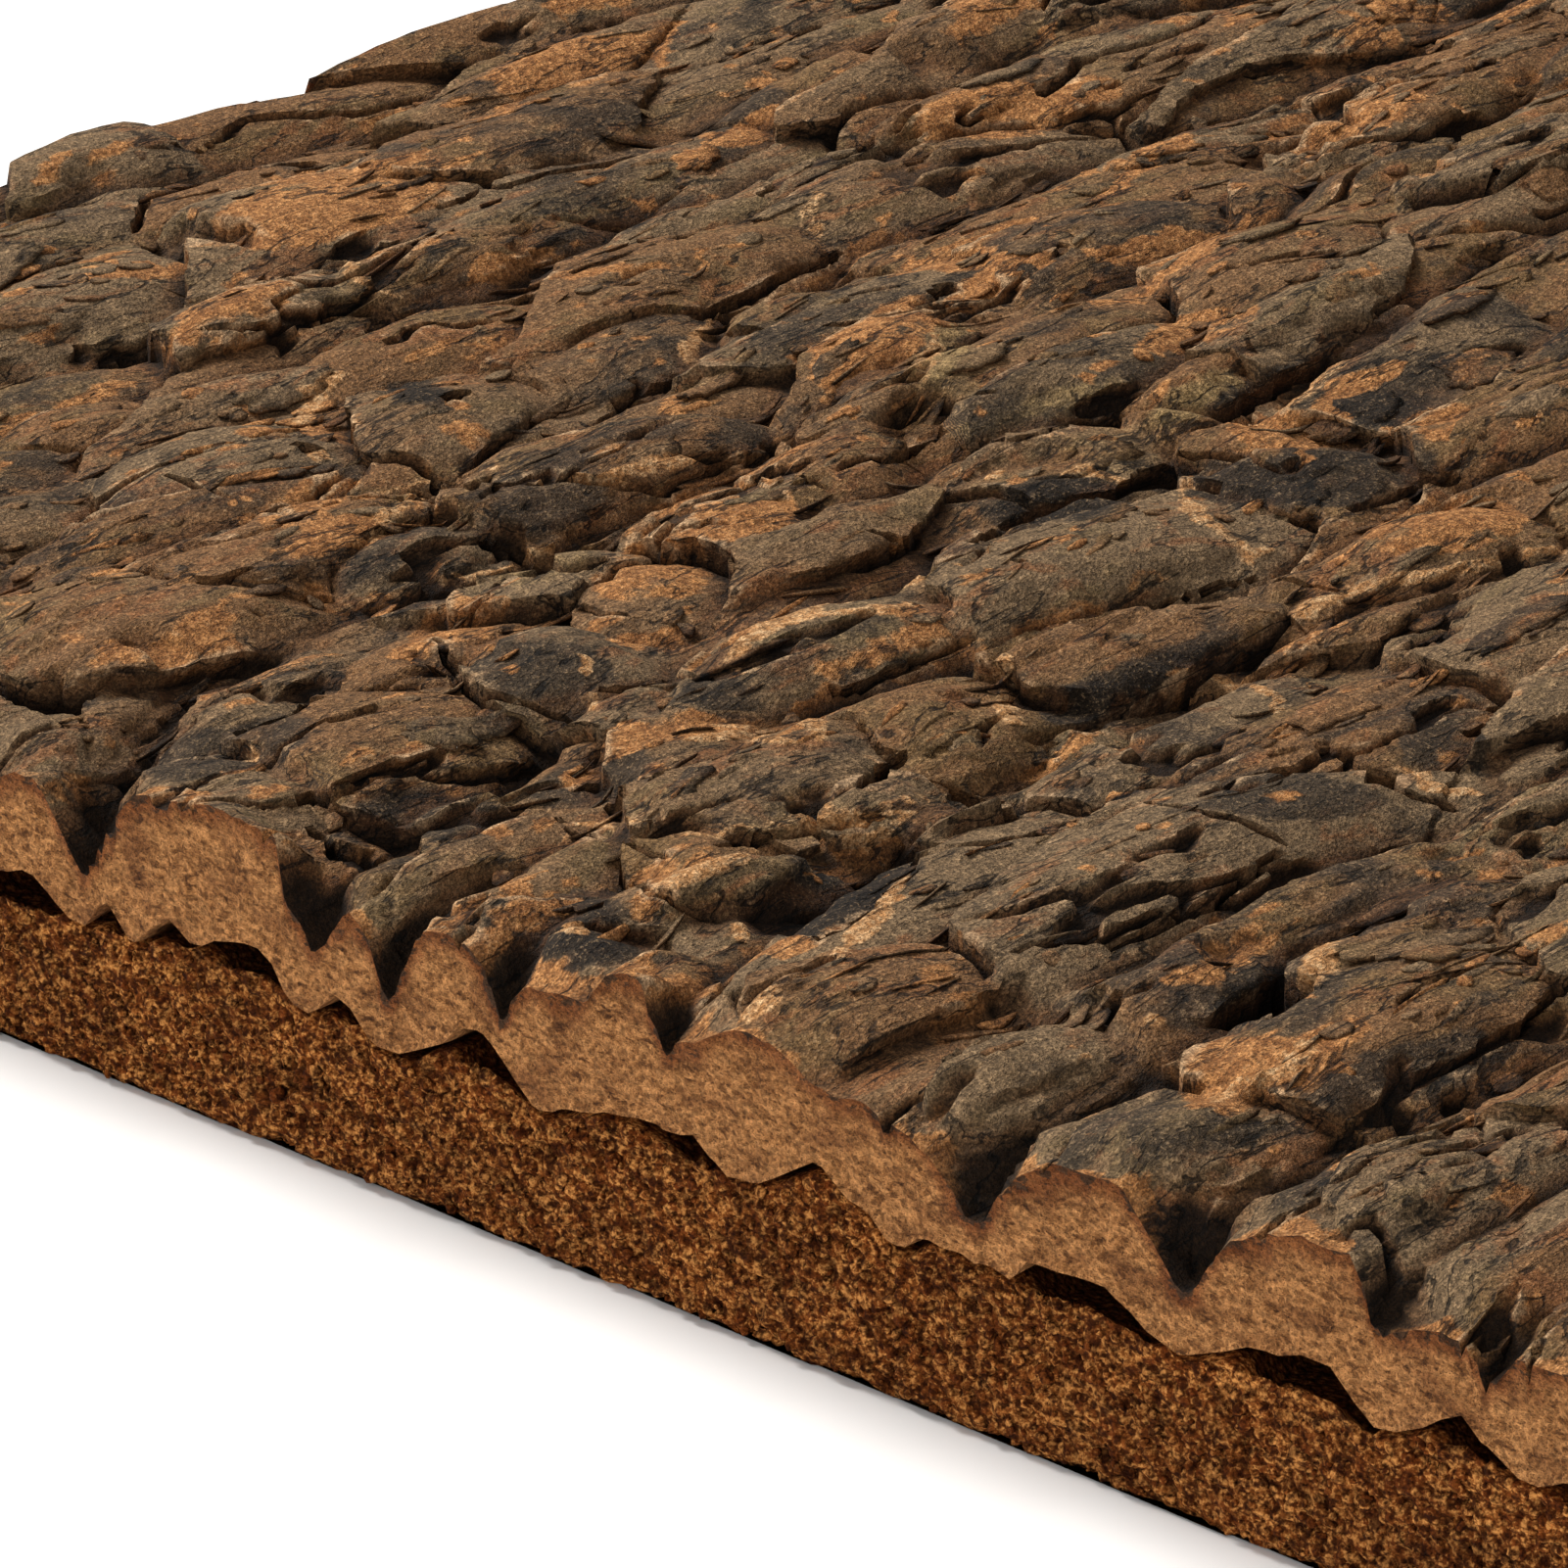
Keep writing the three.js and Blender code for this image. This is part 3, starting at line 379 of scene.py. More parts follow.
class Patches(Enum):
    """Random places where a trait sets in: swells, seed and sizes, then the level and width of its onset."""

    CRACKED = (6, 13, 25, 2, -0.3, 0.3)
    GAPING = (9, 15, 27, 2, 0.12, 0.2)
    RAGGED = (2.4, 6.5, 73, 3, -0.35, 0.25)
    FLAKED = (5, 19, 71, 5, 0.38, 0.12)
    CHIPPED = (2.6, 5.5, 78, 4, 0.42, 0.06)
    BUSY = (11, 24, 61, 3, 0.16, 0.3)
    BLUNT_SCALES = (5, 12, 63, 3, 0.05, 0.3)
    WIDE_SPLITS = (9, 15, 98, 2, -0.4, 1.0)
    SPLIT = (9, 22, 97, 2, -0.05, 0.2)
    WORN_FOOT = (3, 1, 145, 3, -0.5, 1.0)
    LOST_GRANULES = (3, 2.2, 181, 3, 0.2, 0.16)

    def at(self, x: Array, y: Array, lift: Array | float = 0.0) -> Array:
        """Strength of the trait from 0 to 1 at places in mm, which a lift spreads further."""
        across, along, seed, octaves, level, width = self.value
        return smooth((rough(x / across, y / along, seed, octaves) - level + lift) / width)


def blurred(height: Array, reach: int) -> Array:
    """Height averaged over its surroundings.

    Args:
        height: heights on a regular grid.
        reach: grid steps to each side.

    Returns:
        Heights on the same grid.
    """
    out = height
    for axis in (0, 1):
        pad = [(0, 0), (0, 0)]
        pad[axis] = (reach + 1, reach)
        total = np.cumsum(np.pad(out, pad, mode="edge"), axis=axis)
        size = height.shape[axis]
        upper = np.take(total, np.arange(2 * reach + 1, 2 * reach + 1 + size), axis=axis)
        out = (upper - np.take(total, np.arange(size), axis=axis)) / (2 * reach + 1)
    return out


def profile(x: Array, points: Array, column: int) -> Array:
    """Rounded line through drawn points, flat at each of its tops and bottoms.

    Args:
        x: places to read it at.
        points: the drawn points, x first.
        column: which of the points' other numbers to read.

    Returns:
        The line's values.
    """
    at, value = points[:, 0], points[:, column]
    run, rise = np.diff(at), np.diff(value)
    slopes = rise / run
    before, after = slopes[:-1], slopes[1:]
    total = np.where(before * after > 0, before + after, 1)
    lean = np.concatenate([[0], np.where(before * after > 0, 2 * before * after / total, 0), [0]])
    k = np.clip(np.searchsorted(at, x, side="right") - 1, 0, len(run) - 1)
    t = np.clip((x - at[k]) / run[k], 0, 1)
    bend = t * (1 - t) * ((1 - t) * lean[k] - t * lean[k + 1]) * run[k]
    return value[k] + rise[k] * t * t * (3 - 2 * t) + bend


class Nearest:
    """Distances to the nearest and the next of many centres, and what these two carry."""

    def __init__(self, shape: tuple[int, ...]) -> None:
        """Starts with no centre near places of some shape."""
        self.near, self.after = np.full(shape, 9.0), np.full(shape, 9.0)
        self.own, self.other, self.mark = np.zeros(shape), np.zeros(shape), np.zeros(shape)

    def offer(self, block: Block, distance: Array, value: Array, mark: float = 0.0) -> None:
        """Takes one centre in.

        Args:
            block: the places that it may reach.
            distance: their distances to it.
            value: what it carries to them.
            mark: a number for the centre itself.
        """
        near, after, own, other = (a[block] for a in (self.near, self.after, self.own, self.other))
        closer = distance < near
        between = ~closer & (distance < after)
        self.after[block] = np.where(closer, near, np.where(between, distance, after))
        self.other[block] = np.where(closer, own, np.where(between, value, other))
        self.near[block] = np.where(closer, distance, near)
        self.own[block] = np.where(closer, value, own)
        self.mark[block] = np.where(closer, mark, self.mark[block])

    def blend(self, edge: Array | float) -> tuple[Array, Array]:
        """Values blended over borders of a width, and the nearness to a border from 0 to 1."""
        share = smooth(0.5 + 0.5 * (self.after - self.near) / edge)
        return self.own * share + self.other * (1 - share), 2 * (1 - share)


@dataclass
class Cells:
    """Ragged cells on a jittered lattice, such as scales of crust or pressed granules."""

    across: float
    along: float
    seed: int

    def look(self, x: Array, y: Array) -> Nearest:
        """Finds the cell that each place is in.

        Args:
            x: places across, in mm.
            y: places along, in mm.

        Returns:
            The nearest cells, which carry a random number each.
        """
        u, v = x / self.across, y / self.along
        iu, iv = np.floor(u), np.floor(v)
        found = Nearest(u.shape)
        for du in (-1, 0, 1):
            for dv in (-1, 0, 1):
                cu, cv = iu + du, iv + dv
                px = cu + 0.1 + 0.8 * chance(cu, cv, self.seed)
                py = cv + 0.1 + 0.8 * chance(cu, cv, self.seed + 1)
                found.offer(..., np.hypot(u - px, v - py), chance(cu, cv, self.seed + 2))
        return found

    def shingle(self, x: Array, y: Array, width: Array | float) -> tuple[Array, Array, Array]:
        """Random steps from cell to cell, with edges of a chosen width.

        Args:
            x: places across, in mm.
            y: places along, in mm.
            width: width of the step between two cells, as a share of a cell.

        Returns:
            Step heights from -0.5 to 0.5, nearness to an edge, and the own cell's random number.
        """
        found = self.look(x, y)
        level, border = found.blend(width)
        return level - 0.5, border, found.own


@dataclass
class Relief:
    """The crust's height, wear and painted shade over the whole panel, on a fine regular grid."""

    steps: int = 900
    crest: float = 27.5
    crest_swell: float = 1.3
    highest: float = 30.4
    lowest: float = 18.9
    front_blend: float = 6.0
    shallower: float = 0.45
    plate_across: float = 12.0
    plate_along: float = 37.0
    plate_step: float = 1.5
    plate_dome: float = 1.1
    crack_depth: float = 0.9
    void_depth: float = 1.9
    sharp_edge: float = 0.05
    soft_edge: float = 0.22
    wander: float = 1.7
    mark_level: float = 26.5
    slant_x: float = 1.51
    slant_y: float = -1.71

    def __post_init__(self) -> None:
        """Lays the grid out and works out every map on it."""
        self.axis = np.linspace(-HALF, HALF, self.steps + 1)
        self.x, self.y = np.meshgrid(self.axis, self.axis)
        self.scatter_plates()
        self.work_out()

    def scatter_plates(self) -> None:
        """Moves the named plates by their height and adds smaller ones in the places left free."""
        named = [(x + 2 * self.slant_x, y + 2 * self.slant_y, *rest) for x, y, *rest in PLATES]
        self.plates = list(named)
        across = math.ceil(HALF / self.plate_across)
        along = math.ceil(HALF / self.plate_along)
        for ix in range(-across, across + 1):
            for iy in range(-along, along + 1):
                luck = [float(chance(np.array(ix), np.array(iy), seed)) for seed in range(11, 17)]
                x = (ix + 0.8 * (luck[0] - 0.5)) * self.plate_across
                y = (iy + 0.5 * (ix % 2) + 0.8 * (luck[1] - 0.5)) * self.plate_along
                if all(math.hypot((x - p[0]) / (p[2] + 2), (y - p[1]) / (p[3] + 4)) >= 1 for p in named):
                    size = (5 + 3.5 * luck[2], 14 + 15 * luck[3])
                    self.plates.append((x, y, *size, 24 * (luck[4] - 0.5), 1.9 * (luck[5] - 0.42)))

    @staticmethod
    def turned(dx: Array, dy: Array, lean: float) -> tuple[Array, Array]:
        """Offsets across and along a shape that leans by some degrees."""
        c, s = math.cos(math.radians(lean)), math.sin(math.radians(lean))
        return dx * c + dy * s, dy * c - dx * s

    def plate_relief(self, x: Array, y: Array) -> tuple[Array, Array, Array]:
        """Rise and fall that the plates give.

        Args:
            x: places across, as the growth has bent them.
            y: places along, as the growth has bent them.

        Returns:
            The rise, a random number for each plate, and the nearness to a crack from 0 to 1.
        """
        found = Nearest(x.shape)
        for number, (px, py, wide, long, lean, rise) in enumerate(self.plates):
            block = self.block((px, py), (px, py), min(3.4 * wide + 8, 40), min(3.4 * long, 80))
            u, v = self.turned(x[block] - px, y[block] - py, lean)
            u, v = u / wide, v / long
            distance = np.hypot(u, v)
            dome = self.plate_dome * (0.4 - np.minimum(distance, 1.3) ** 2.4)
            height = self.plate_step * rise + dome - 0.6 * v - 0.4 * u
            found.offer(block, distance, height, (number * GOLDEN) % 1.0)
        cracked = Patches.CRACKED.at(self.x, self.y)
        gaping = Patches.GAPING.at(self.x, self.y) * cracked
        edge = self.soft_edge + (self.sharp_edge - self.soft_edge) * cracked + 0.1 * gaping
        level, border = found.blend(edge)
        crack = border * cracked
        return level - crack * (self.crack_depth + self.void_depth * gaping), found.mark, crack

    def furrow_depth(self, x: Array, y: Array) -> Array:
        """Depth to which the furrows sink the crust.

        Args:
            x: places across.
            y: places along.

        Returns:
            Depths, 0 on the ridges.
        """
        deepest = np.zeros(x.shape)
        for left, right, line in FURROWS:
            at, middle, sinks = np.array(line, float).T
            row = middle[0] * 0.37
            wander = self.wander * smooth((y + HALF) / 25) * swell(row, y / 11, 61)
            offset = x - np.interp(y, at, middle) - wander
            width = np.where(offset < 0, left * 1.5, right)
            wall = np.maximum(1 - np.abs(offset) / width, 0)
            uneven = 1 + 0.22 * swell(row, y / 9, 62)
            sunk = np.interp(y, at, sinks) * uneven * wall**1.8
            deepest = np.maximum(deepest, sunk)
        return deepest

    def spots(self, x: Array, y: Array, places: list[tuple[float, ...]], edge: float) -> Array:
        """Soft-edged leaning ovals.

        Args:
            x: places across.
            y: places along.
            places: x, y, half width, half length, lean and, if given, strength of each oval.
            edge: width of the soft edge as a share of the oval.

        Returns:
            The strongest oval's strength at each place.
        """
        out = np.zeros(x.shape)
        for px, py, wide, long, lean, *strength in places:
            reach = max(wide, long) * 1.5 + 9
            block = self.block((px, py), (px, py), reach, reach)
            u, v = self.turned(x[block] - px, y[block] - py, lean)
            part = smooth((1.15 - np.hypot(u / wide, v / long)) / edge)
            if strength:
                part = part * strength[0]
            out[block] = np.maximum(out[block], part)
        return out

    def strokes(self, x: Array, y: Array, lines: list[tuple], edge: float) -> Array:
        """Soft-edged bands along drawn lines, narrower at their ends.

        Args:
            x: places across.
            y: places along.
            lines: half width, strength and points of each line.
            edge: width of the soft edge as a share of the half width.

        Returns:
            The strongest line's strength at each place.
        """
        out = np.zeros(x.shape)
        for half, strength, *points in lines:
            runs = len(points) - 1
            for k, ((ax, ay), (bx, by)) in enumerate(itertools.pairwise(points)):
                low, high = (min(ax, bx), min(ay, by)), (max(ax, bx), max(ay, by))
                block = self.block(low, high, half + 9, half + 9)
                dx, dy = bx - ax, by - ay
                go = ((x[block] - ax) * dx + (y[block] - ay) * dy) / (dx * dx + dy * dy)
                go = np.clip(go, 0, 1)
                away = np.hypot(x[block] - ax - go * dx, y[block] - ay - go * dy)
                narrow = 1 - 0.6 * np.abs(2 * (go + k) / runs - 1) ** 3
                part = strength * smooth((1.15 - away / (half * narrow)) / edge)
                out[block] = np.maximum(out[block], part)
        return out

    def block(self, low: tuple[float, float], high: tuple[float, float], reach_x: float,
              reach_y: float) -> tuple[slice, slice]:
        """Part of the grid round a box.

        Args:
            low: least x and y of the box.
            high: greatest x and y.
            reach_x: how far the part reaches beyond the box across.
            reach_y: how far along.

        Returns:
            The rows and the columns.
        """
        columns = np.searchsorted(self.axis, [low[0] - reach_x, high[0] + reach_x])
        rows = np.searchsorted(self.axis, [low[1] - reach_y, high[1] + reach_y])
        return slice(*rows), slice(*columns)

    def work_out(self) -> None:
        """Works out the height map, the wear and painted-shade maps and the undercut map."""
        x, y = self.x, self.y
        bent_x = x + Grain.BENT_ACROSS.at(x, y)
        bent_y = y + Grain.BENT_ALONG.at(x, y)
        behind = 1 - self.shallower * smooth((y + HALF) / 8)
        broken_out = self.spots(bent_x, bent_y, HOLLOWS, 0.6)
        depth = np.maximum(self.furrow_depth(bent_x, bent_y), broken_out) * behind
        grown_x = bent_x + Grain.GROWN_ACROSS.at(x, y)
        grown_y = bent_y + Grain.GROWN_ALONG.at(x, y)
        plates, self.tone, cracks = self.plate_relief(grown_x, grown_y)
        crest = self.crest + self.crest_swell * swell(x / 27 + 0.4, y / 64, 31)
        inner = np.clip(crest - depth + plates * (1 - depth / 14), self.lowest, self.highest)
        front = smooth((y + HALF) / self.front_blend)
        cut_line = profile(x, FRONT_CRUST, 1) + Grain.CUT_LINE.at(x, 0 * x)
        height = cut_line * (1 - front) + inner * front
        height, splits = self.tear(height, grown_x, grown_y, depth)
        height, pits = self.mark(height, front)
        calm = 0.3 * (1 - smooth((HALF - np.abs(x)) / 8))
        height = height + calm * (blurred(height, 10) - height) * front
        self.height = np.clip(height, self.lowest - 0.7, self.highest + 0.5)
        self.weather(depth, splits, pits)
        self.undercut()
        LOG.info("relief: %d plates, cracks over %.0f%%", len(self.plates), 100 * (cracks > 0.5).mean())

    def mark(self, height: Array, front: Array) -> tuple[Array, Array]:
        """Cuts the named holes and cracks, lifts the torn edges and tells where the skin is gone.

        The marks are read on one level, so each is moved along the line of sight to its own height.

        Args:
            height: the crust before the marks.
            front: 0 at the cut front edge and 1 behind it.

        Returns:
            The marked crust and the depth of its holes and cracks.
        """
        x, y = self.x, self.y
        above = blurred(height, 4) - self.mark_level
        seen_x = x - above * self.slant_x + Grain.SEEN_ACROSS.at(x, y)
        seen_y = y - above * self.slant_y + Grain.SEEN_ALONG.at(x, y)
        pits = self.spots(seen_x, seen_y, VOIDS, 0.25)
        pits = np.maximum(pits, self.strokes(seen_x, seen_y, CRACKS, 0.7))
        pits = pits * smooth((y + HALF) / 4)
        torn = self.strokes(seen_x, seen_y, TORN, 0.5)
        ragged = Patches.RAGGED.at(x, y)
        flaked = Patches.FLAKED.at(x, y, lift=0.12 * smooth((60 - x + y) / 160))
        chosen = self.spots(seen_x, seen_y, FRESH, 0.3) * (0.45 + 0.55 * ragged)
        sawn = smooth((1.4 + Grain.SAWN.at(x, y) - (y + HALF)) / 0.8)
        chipped = 0.85 * Patches.CHIPPED.at(x, y)
        self.fresh = np.maximum(np.maximum(chosen, sawn), np.maximum(flaked, chipped) * front)
        self.torn = np.minimum(1.2 * torn, 1) * (0.5 + 0.5 * ragged)
        self.sooty = self.spots(seen_x, seen_y, SOOTY, 0.35)
        self.pale = self.spots(seen_x, seen_y, PALE, 0.4)
        return height - pits + 0.2 * torn * (pits < 0.5), pits

    def weather(self, depth: Array, splits: Array, pits: Array) -> None:
        """Works out the painted shade, with some dirt, in hollows, furrows, splits, holes and on steep walls,
        and the worn edges.

        Args:
            depth: how deep the furrows have sunk the crust.
            splits: nearness to a split.
            pits: depth of the holes and cracks.
        """
        wide, close = blurred(self.height, 9), blurred(self.height, 2)
        # Painted shade with some dirt: darker where the crust lies below its surroundings, in furrows, splits
        # and holes, and on steep walls
        sunk = (wide - self.height) / 2.0 + depth / 16 + 0.5 * splits + np.maximum(pits - 1, 0) / 2
        rise_y, rise_x = np.gradient(close, self.axis, self.axis)
        wall = smooth((np.hypot(rise_x, rise_y) - 0.9) / 1.1)
        self.shade_and_dirt = np.clip(sunk + 0.4 * wall, 0, 1)
        self.edge = np.clip((self.height - close) / 0.3, 0, 1)

    def undercut(self) -> None:
        """Works out how far each ledge leans over its foot, and keeps the smoothed crust."""
        slope_y, slope_x = np.gradient(blurred(self.height, 3), self.axis, self.axis)
        self.steep = np.maximum(np.hypot(slope_x, slope_y), 0.001)
        amount = np.clip(self.height - blurred(self.height, 4), -0.8, 0.8) * np.minimum(self.steep, 1.1)
        border = np.clip((HALF - np.maximum(np.abs(self.x), np.abs(self.y))) / 2.5, 0, 1)
        self.shift_x = -0.9 * amount * slope_x / self.steep * border
        self.shift_y = -0.9 * amount * slope_y / self.steep * border
        self.base = blurred(self.height, 6)

    @staticmethod
    def layered(field: Array, step: float, edge: float) -> Array:
        """Turns a soft swell into flat layers with sharp ragged borders.

        Args:
            field: the swell.
            step: height of a layer.
            edge: share of a layer that its border takes.

        Returns:
            The stepped swell.
        """
        level = field / step
        part = level - np.floor(level)
        return (np.floor(level) + smooth((part - 1 + edge) / edge)) * step

    def tear(self, height: Array, x: Array, y: Array, depth: Array) -> tuple[Array, Array]:
        """Breaks the crust up into thin scales, torn layers, splits and ledges.

        Args:
            height: the unbroken crust.
            x: places across, as the growth has bent them.
            y: places along, as the growth has bent them.
            depth: how deep the furrows have sunk the crust.

        Returns:
            The broken crust, and the nearness to a split from 0 to 1.
        """
        busy = 0.05 + 0.95 * Patches.BUSY.at(x, y)
        width = 0.05 + 0.6 * Patches.BLUNT_SCALES.at(x, y)
        step, line, self.scale = Cells(across=6.5, along=21, seed=81).shingle(x, y, width)
        height = height + (0.16 + 0.7 * busy) * (0.8 * step - 0.3 * line * (width < 0.3))
        height = height + (0.2 + 0.8 * busy) * self.layered(Grain.LAYERS.at(x, y), 0.3, 0.12)
        height = height + 0.4 * busy * self.layered(Grain.THIN_LAYERS.at(x, y), 0.42, 0.2)
        near = np.abs(Grain.SPLIT_LINES.at(x, y))
        narrow = 0.03 + 0.05 * Patches.WIDE_SPLITS.at(x, y)
        splits = smooth(1.5 - near / narrow) * Patches.SPLIT.at(x, y)
        height = height - 1.2 * splits
        level = height + Grain.LEDGES.at(x, y)
        flank = busy * smooth((depth - 0.6) / 1.5)
        height = height + 0.6 * flank * (self.layered(level, 1.1, 0.3) + 0.3 - level)
        fine = (0.3 + 0.7 * busy) * Grain.FINE.at(x, y)
        return height + (fine + Grain.FINEST.at(x, y)), splits

    def read(self, chart: Array, x: Array, y: Array) -> Array:
        """Reads a map between its grid points.

        Args:
            chart: one of the maps.
            x: places across.
            y: places along.

        Returns:
            The map's value at each place.
        """
        u = np.clip((x + HALF) / (2 * HALF) * self.steps, 0, self.steps - 1e-6)
        v = np.clip((y + HALF) / (2 * HALF) * self.steps, 0, self.steps - 1e-6)
        i, j = u.astype(int), v.astype(int)
        fu, fv = u - i, v - j
        near = chart[j, i] * (1 - fu) + chart[j, i + 1] * fu
        far = chart[j + 1, i] * (1 - fu) + chart[j + 1, i + 1] * fu
        return near * (1 - fv) + far * fv


@dataclass
class Seam:
    """The scalloped seam between the bark and the core."""

    level: float = 15.6
    glue: float = 0.3

    @staticmethod
    def scallop(x: Array, y: Array) -> Array:
        """Strength of the scallops, whole at the front edge."""
        front = smooth((y + HALF) / 30)
        return 1 - front * (0.45 + Grain.SCALLOPS.at(x, y))

    def inner_face(self, x: Array, y: Array) -> Array:
        """Height of the bark's inner face."""
        wave = (profile(x, FRONT_SEAM, 1) - self.level) * self.scallop(x, y)
        return self.level + wave + smooth((y + HALF) / 30) * Grain.INNER_FACE.at(x, y)

    def core_top(self, x: Array, y: Array) -> Array:
        """Height of the core under the bark.

        Args:
            x: places across.
            y: places along.

        Returns:
            Heights in mm.
        """
        hollow = profile(x, FRONT_SEAM, 1) - profile(x, FRONT_SEAM, 2) - self.glue
        gap = self.glue + np.maximum(hollow, 0) * self.scallop(x, y)
        return self.inner_face(x, y) - gap * smooth((HALF - np.abs(x)) / CORNER_FADE)

    def eaten_top(self, x: Array, y: Array) -> Array:
        """Height of the core's top, eaten away where the seam gapes and deeper behind its rim.

        Args:
            x: places across.
            y: places along.

        Returns:
            Heights in mm.
        """
        gape = np.maximum(self.inner_face(x, y) - self.core_top(x, y) - self.glue, 0)
        behind = smooth((y + HALF) / 3)
        return self.core_top(x, y) - (1.0 + 2.2 * behind) * smooth(gape / 0.6) * (y < -HALF + 20)


class Weave:
    """Collects the points and triangles of one mesh."""

    def __init__(self) -> None:
        """Starts empty."""
        self.points: list[Array] = []
        self.faces: list[Array] = []
        self.slots: list[Array] = []
        self.count = 0

    def add(self, points: Array) -> Array:
        """Takes points in.

        Args:
            points: an array whose last axis is x, y, z.

        Returns:
            The points' numbers, in the array's own layout.
        """
        flat = points.reshape(-1, 3)
        numbers = np.arange(self.count, self.count + len(flat)).reshape(points.shape[:-1])
        self.points.append(flat)
        self.count += len(flat)
        return numbers

    def cover(self, numbers: Array, slot: int, flip: bool = False) -> None:
        """Adds two triangles to each cell of a grid of points.

        Args:
            numbers: the grid's point numbers, seen with rows going up and columns to the right.
            slot: material slot of the triangles.
            flip: turns the triangles over.
        """
        a, b = numbers[:-1, :-1].ravel(), numbers[:-1, 1:].ravel()
        d, c = numbers[1:, :-1].ravel(), numbers[1:, 1:].ravel()
        self.keep(np.concatenate([np.stack([a, b, c], 1), np.stack([a, c, d], 1)]), slot, flip)

    def surround(self, rows: Array, slot: int) -> None:
        """Covers closed rows of points, from the top row down, to look outward."""
        self.cover(np.hstack([rows, rows[:, :1]]), slot, flip=True)

    def stitch(self, outer: Array, inner: Array, outer_at: Array, inner_at: Array, slot: int,
               flip: bool = False) -> None:
        """Fills the strip between two lines of points.

        Args:
            outer: point numbers of one line.
            inner: point numbers of the other line, to its left.
            outer_at: growing places of the outer points.
            inner_at: growing places of the inner points.
            slot: material slot of the triangles.
            flip: turns the triangles over.
        """
        faces, i, j = [], 0, 0
        while i < len(outer) - 1 or j < len(inner) - 1:
            next_outer = outer_at[i + 1] if i < len(outer) - 1 else math.inf
            next_inner = inner_at[j + 1] if j < len(inner) - 1 else math.inf
            if next_outer <= next_inner:
                faces.append((outer[i], outer[i + 1], inner[j]))
                i += 1
            else:
                faces.append((outer[i], inner[j + 1], inner[j]))
                j += 1
        self.keep(np.array(faces), slot, flip)

    def keep(self, faces: Array, slot: int, flip: bool = False) -> None:
        """Takes triangles in for a material slot, turned over or not."""
        self.faces.append(faces[:, ::-1] if flip else faces)
        self.slots.append(np.full(len(faces), slot))

    def mesh(self, name: str) -> bpy.types.Mesh:
        """Makes the mesh, in metres.

        Args:
            name: the mesh's name.

        Returns:
            The new mesh.
        """
        points = np.concatenate(self.points) * MM
        faces = np.concatenate(self.faces)
        mesh = bpy.data.meshes.new(name)
        mesh.vertices.add(len(points))
        mesh.vertices.foreach_set("co", points.astype(np.float32).ravel())
        mesh.loops.add(faces.size)
        mesh.loops.foreach_set("vertex_index", faces.astype(np.int32).ravel())
        mesh.polygons.add(len(faces))
        mesh.polygons.foreach_set("loop_start", np.arange(0, faces.size, 3, dtype=np.int32))
        mesh.polygons.foreach_set("material_index", np.concatenate(self.slots).astype(np.int32))
        mesh.update(calc_edges=True)
        mesh.validate()
        return mesh


class Side(Enum):
    """The four cut sides, in the order in which the rim runs round the panel."""

    FRONT = (0.0, -1.0)
    RIGHT = (1.0, 0.0)
    BACK = (0.0, 1.0)
    LEFT = (-1.0, 0.0)

    @classmethod
    def outward(cls) -> Array:
        """Outward directions of the sides in their order."""
        return np.array([side.value for side in cls])


class Rim:
    """Points round the panel's rim, from the front left corner and to the right."""

    def __init__(self, steps: int) -> None:
        """Places the points, of which the last doesn't repeat the first.

        Args:
            steps: steps to each side.
        """
        go = np.linspace(-HALF, HALF, steps + 1)[:-1]
        edge = np.full(steps, HALF)
        self.x = np.concatenate([go, edge, -go, -edge])
        self.y = np.concatenate([-edge, go, edge, -go])
        self.out_x, self.out_y = np.repeat(Side.outward(), steps, axis=0).T
        self.run = np.arange(4 * steps) * 2 * HALF / steps
        clear = np.abs(np.mod(self.run + HALF, 2 * HALF) - HALF)
        self.seam_fade = smooth(clear / CORNER_FADE)
        self.corner = np.minimum(1, clear / CORNER_CALM)

    def shifted(self, outward: Array, z: Array) -> Array:
        """Rows of points round the rim, moved outward and at given heights."""
        return np.stack([self.x + self.out_x * outward, self.y + self.out_y * outward, z], -1)


def close_cap(weave: Weave, ring: Array, plan: tuple[int, int, float],
              height: Callable[[Array, Array], Array], slot: int, up: bool) -> None:
    """Closes the top or bottom of a slab with a coarse grid stitched to its fine rim.

    Args:
        weave: the mesh in the making.
        ring: point numbers round the rim, in the order of Rim.
        plan: cells of the coarse grid across and along, and its distance from the rim.
        height: gives the grid's heights.
        slot: material slot.
        up: whether the cap faces up.
    """
    across, along, inset = plan
    xs = np.linspace(-HALF + inset, HALF - inset, across + 1)
    ys = np.linspace(-HALF + inset, HALF - inset, along + 1)
    x, y = np.meshgrid(xs, ys)
    grid = weave.add(np.stack([x, y, height(x, y)], -1))
    weave.cover(grid, slot, flip=not up)
    steps = len(ring) // len(Side)
    go = np.linspace(-HALF, HALF, steps + 1)
    loop = np.append(ring, ring[0])
    lines = [(grid[0], xs), (grid[:, -1], ys), (grid[-1, ::-1], xs), (grid[::-1, 0], ys)]
    for k, (line, places) in enumerate(lines):
        weave.stitch(loop[k * steps:(k + 1) * steps + 1], line, go, places, slot, flip=not up)


# Sockets of a Mix node that mixes colours: factor, first and second colour, result
FACTOR, FIRST, SECOND, MIXED = 0, 6, 7, 2


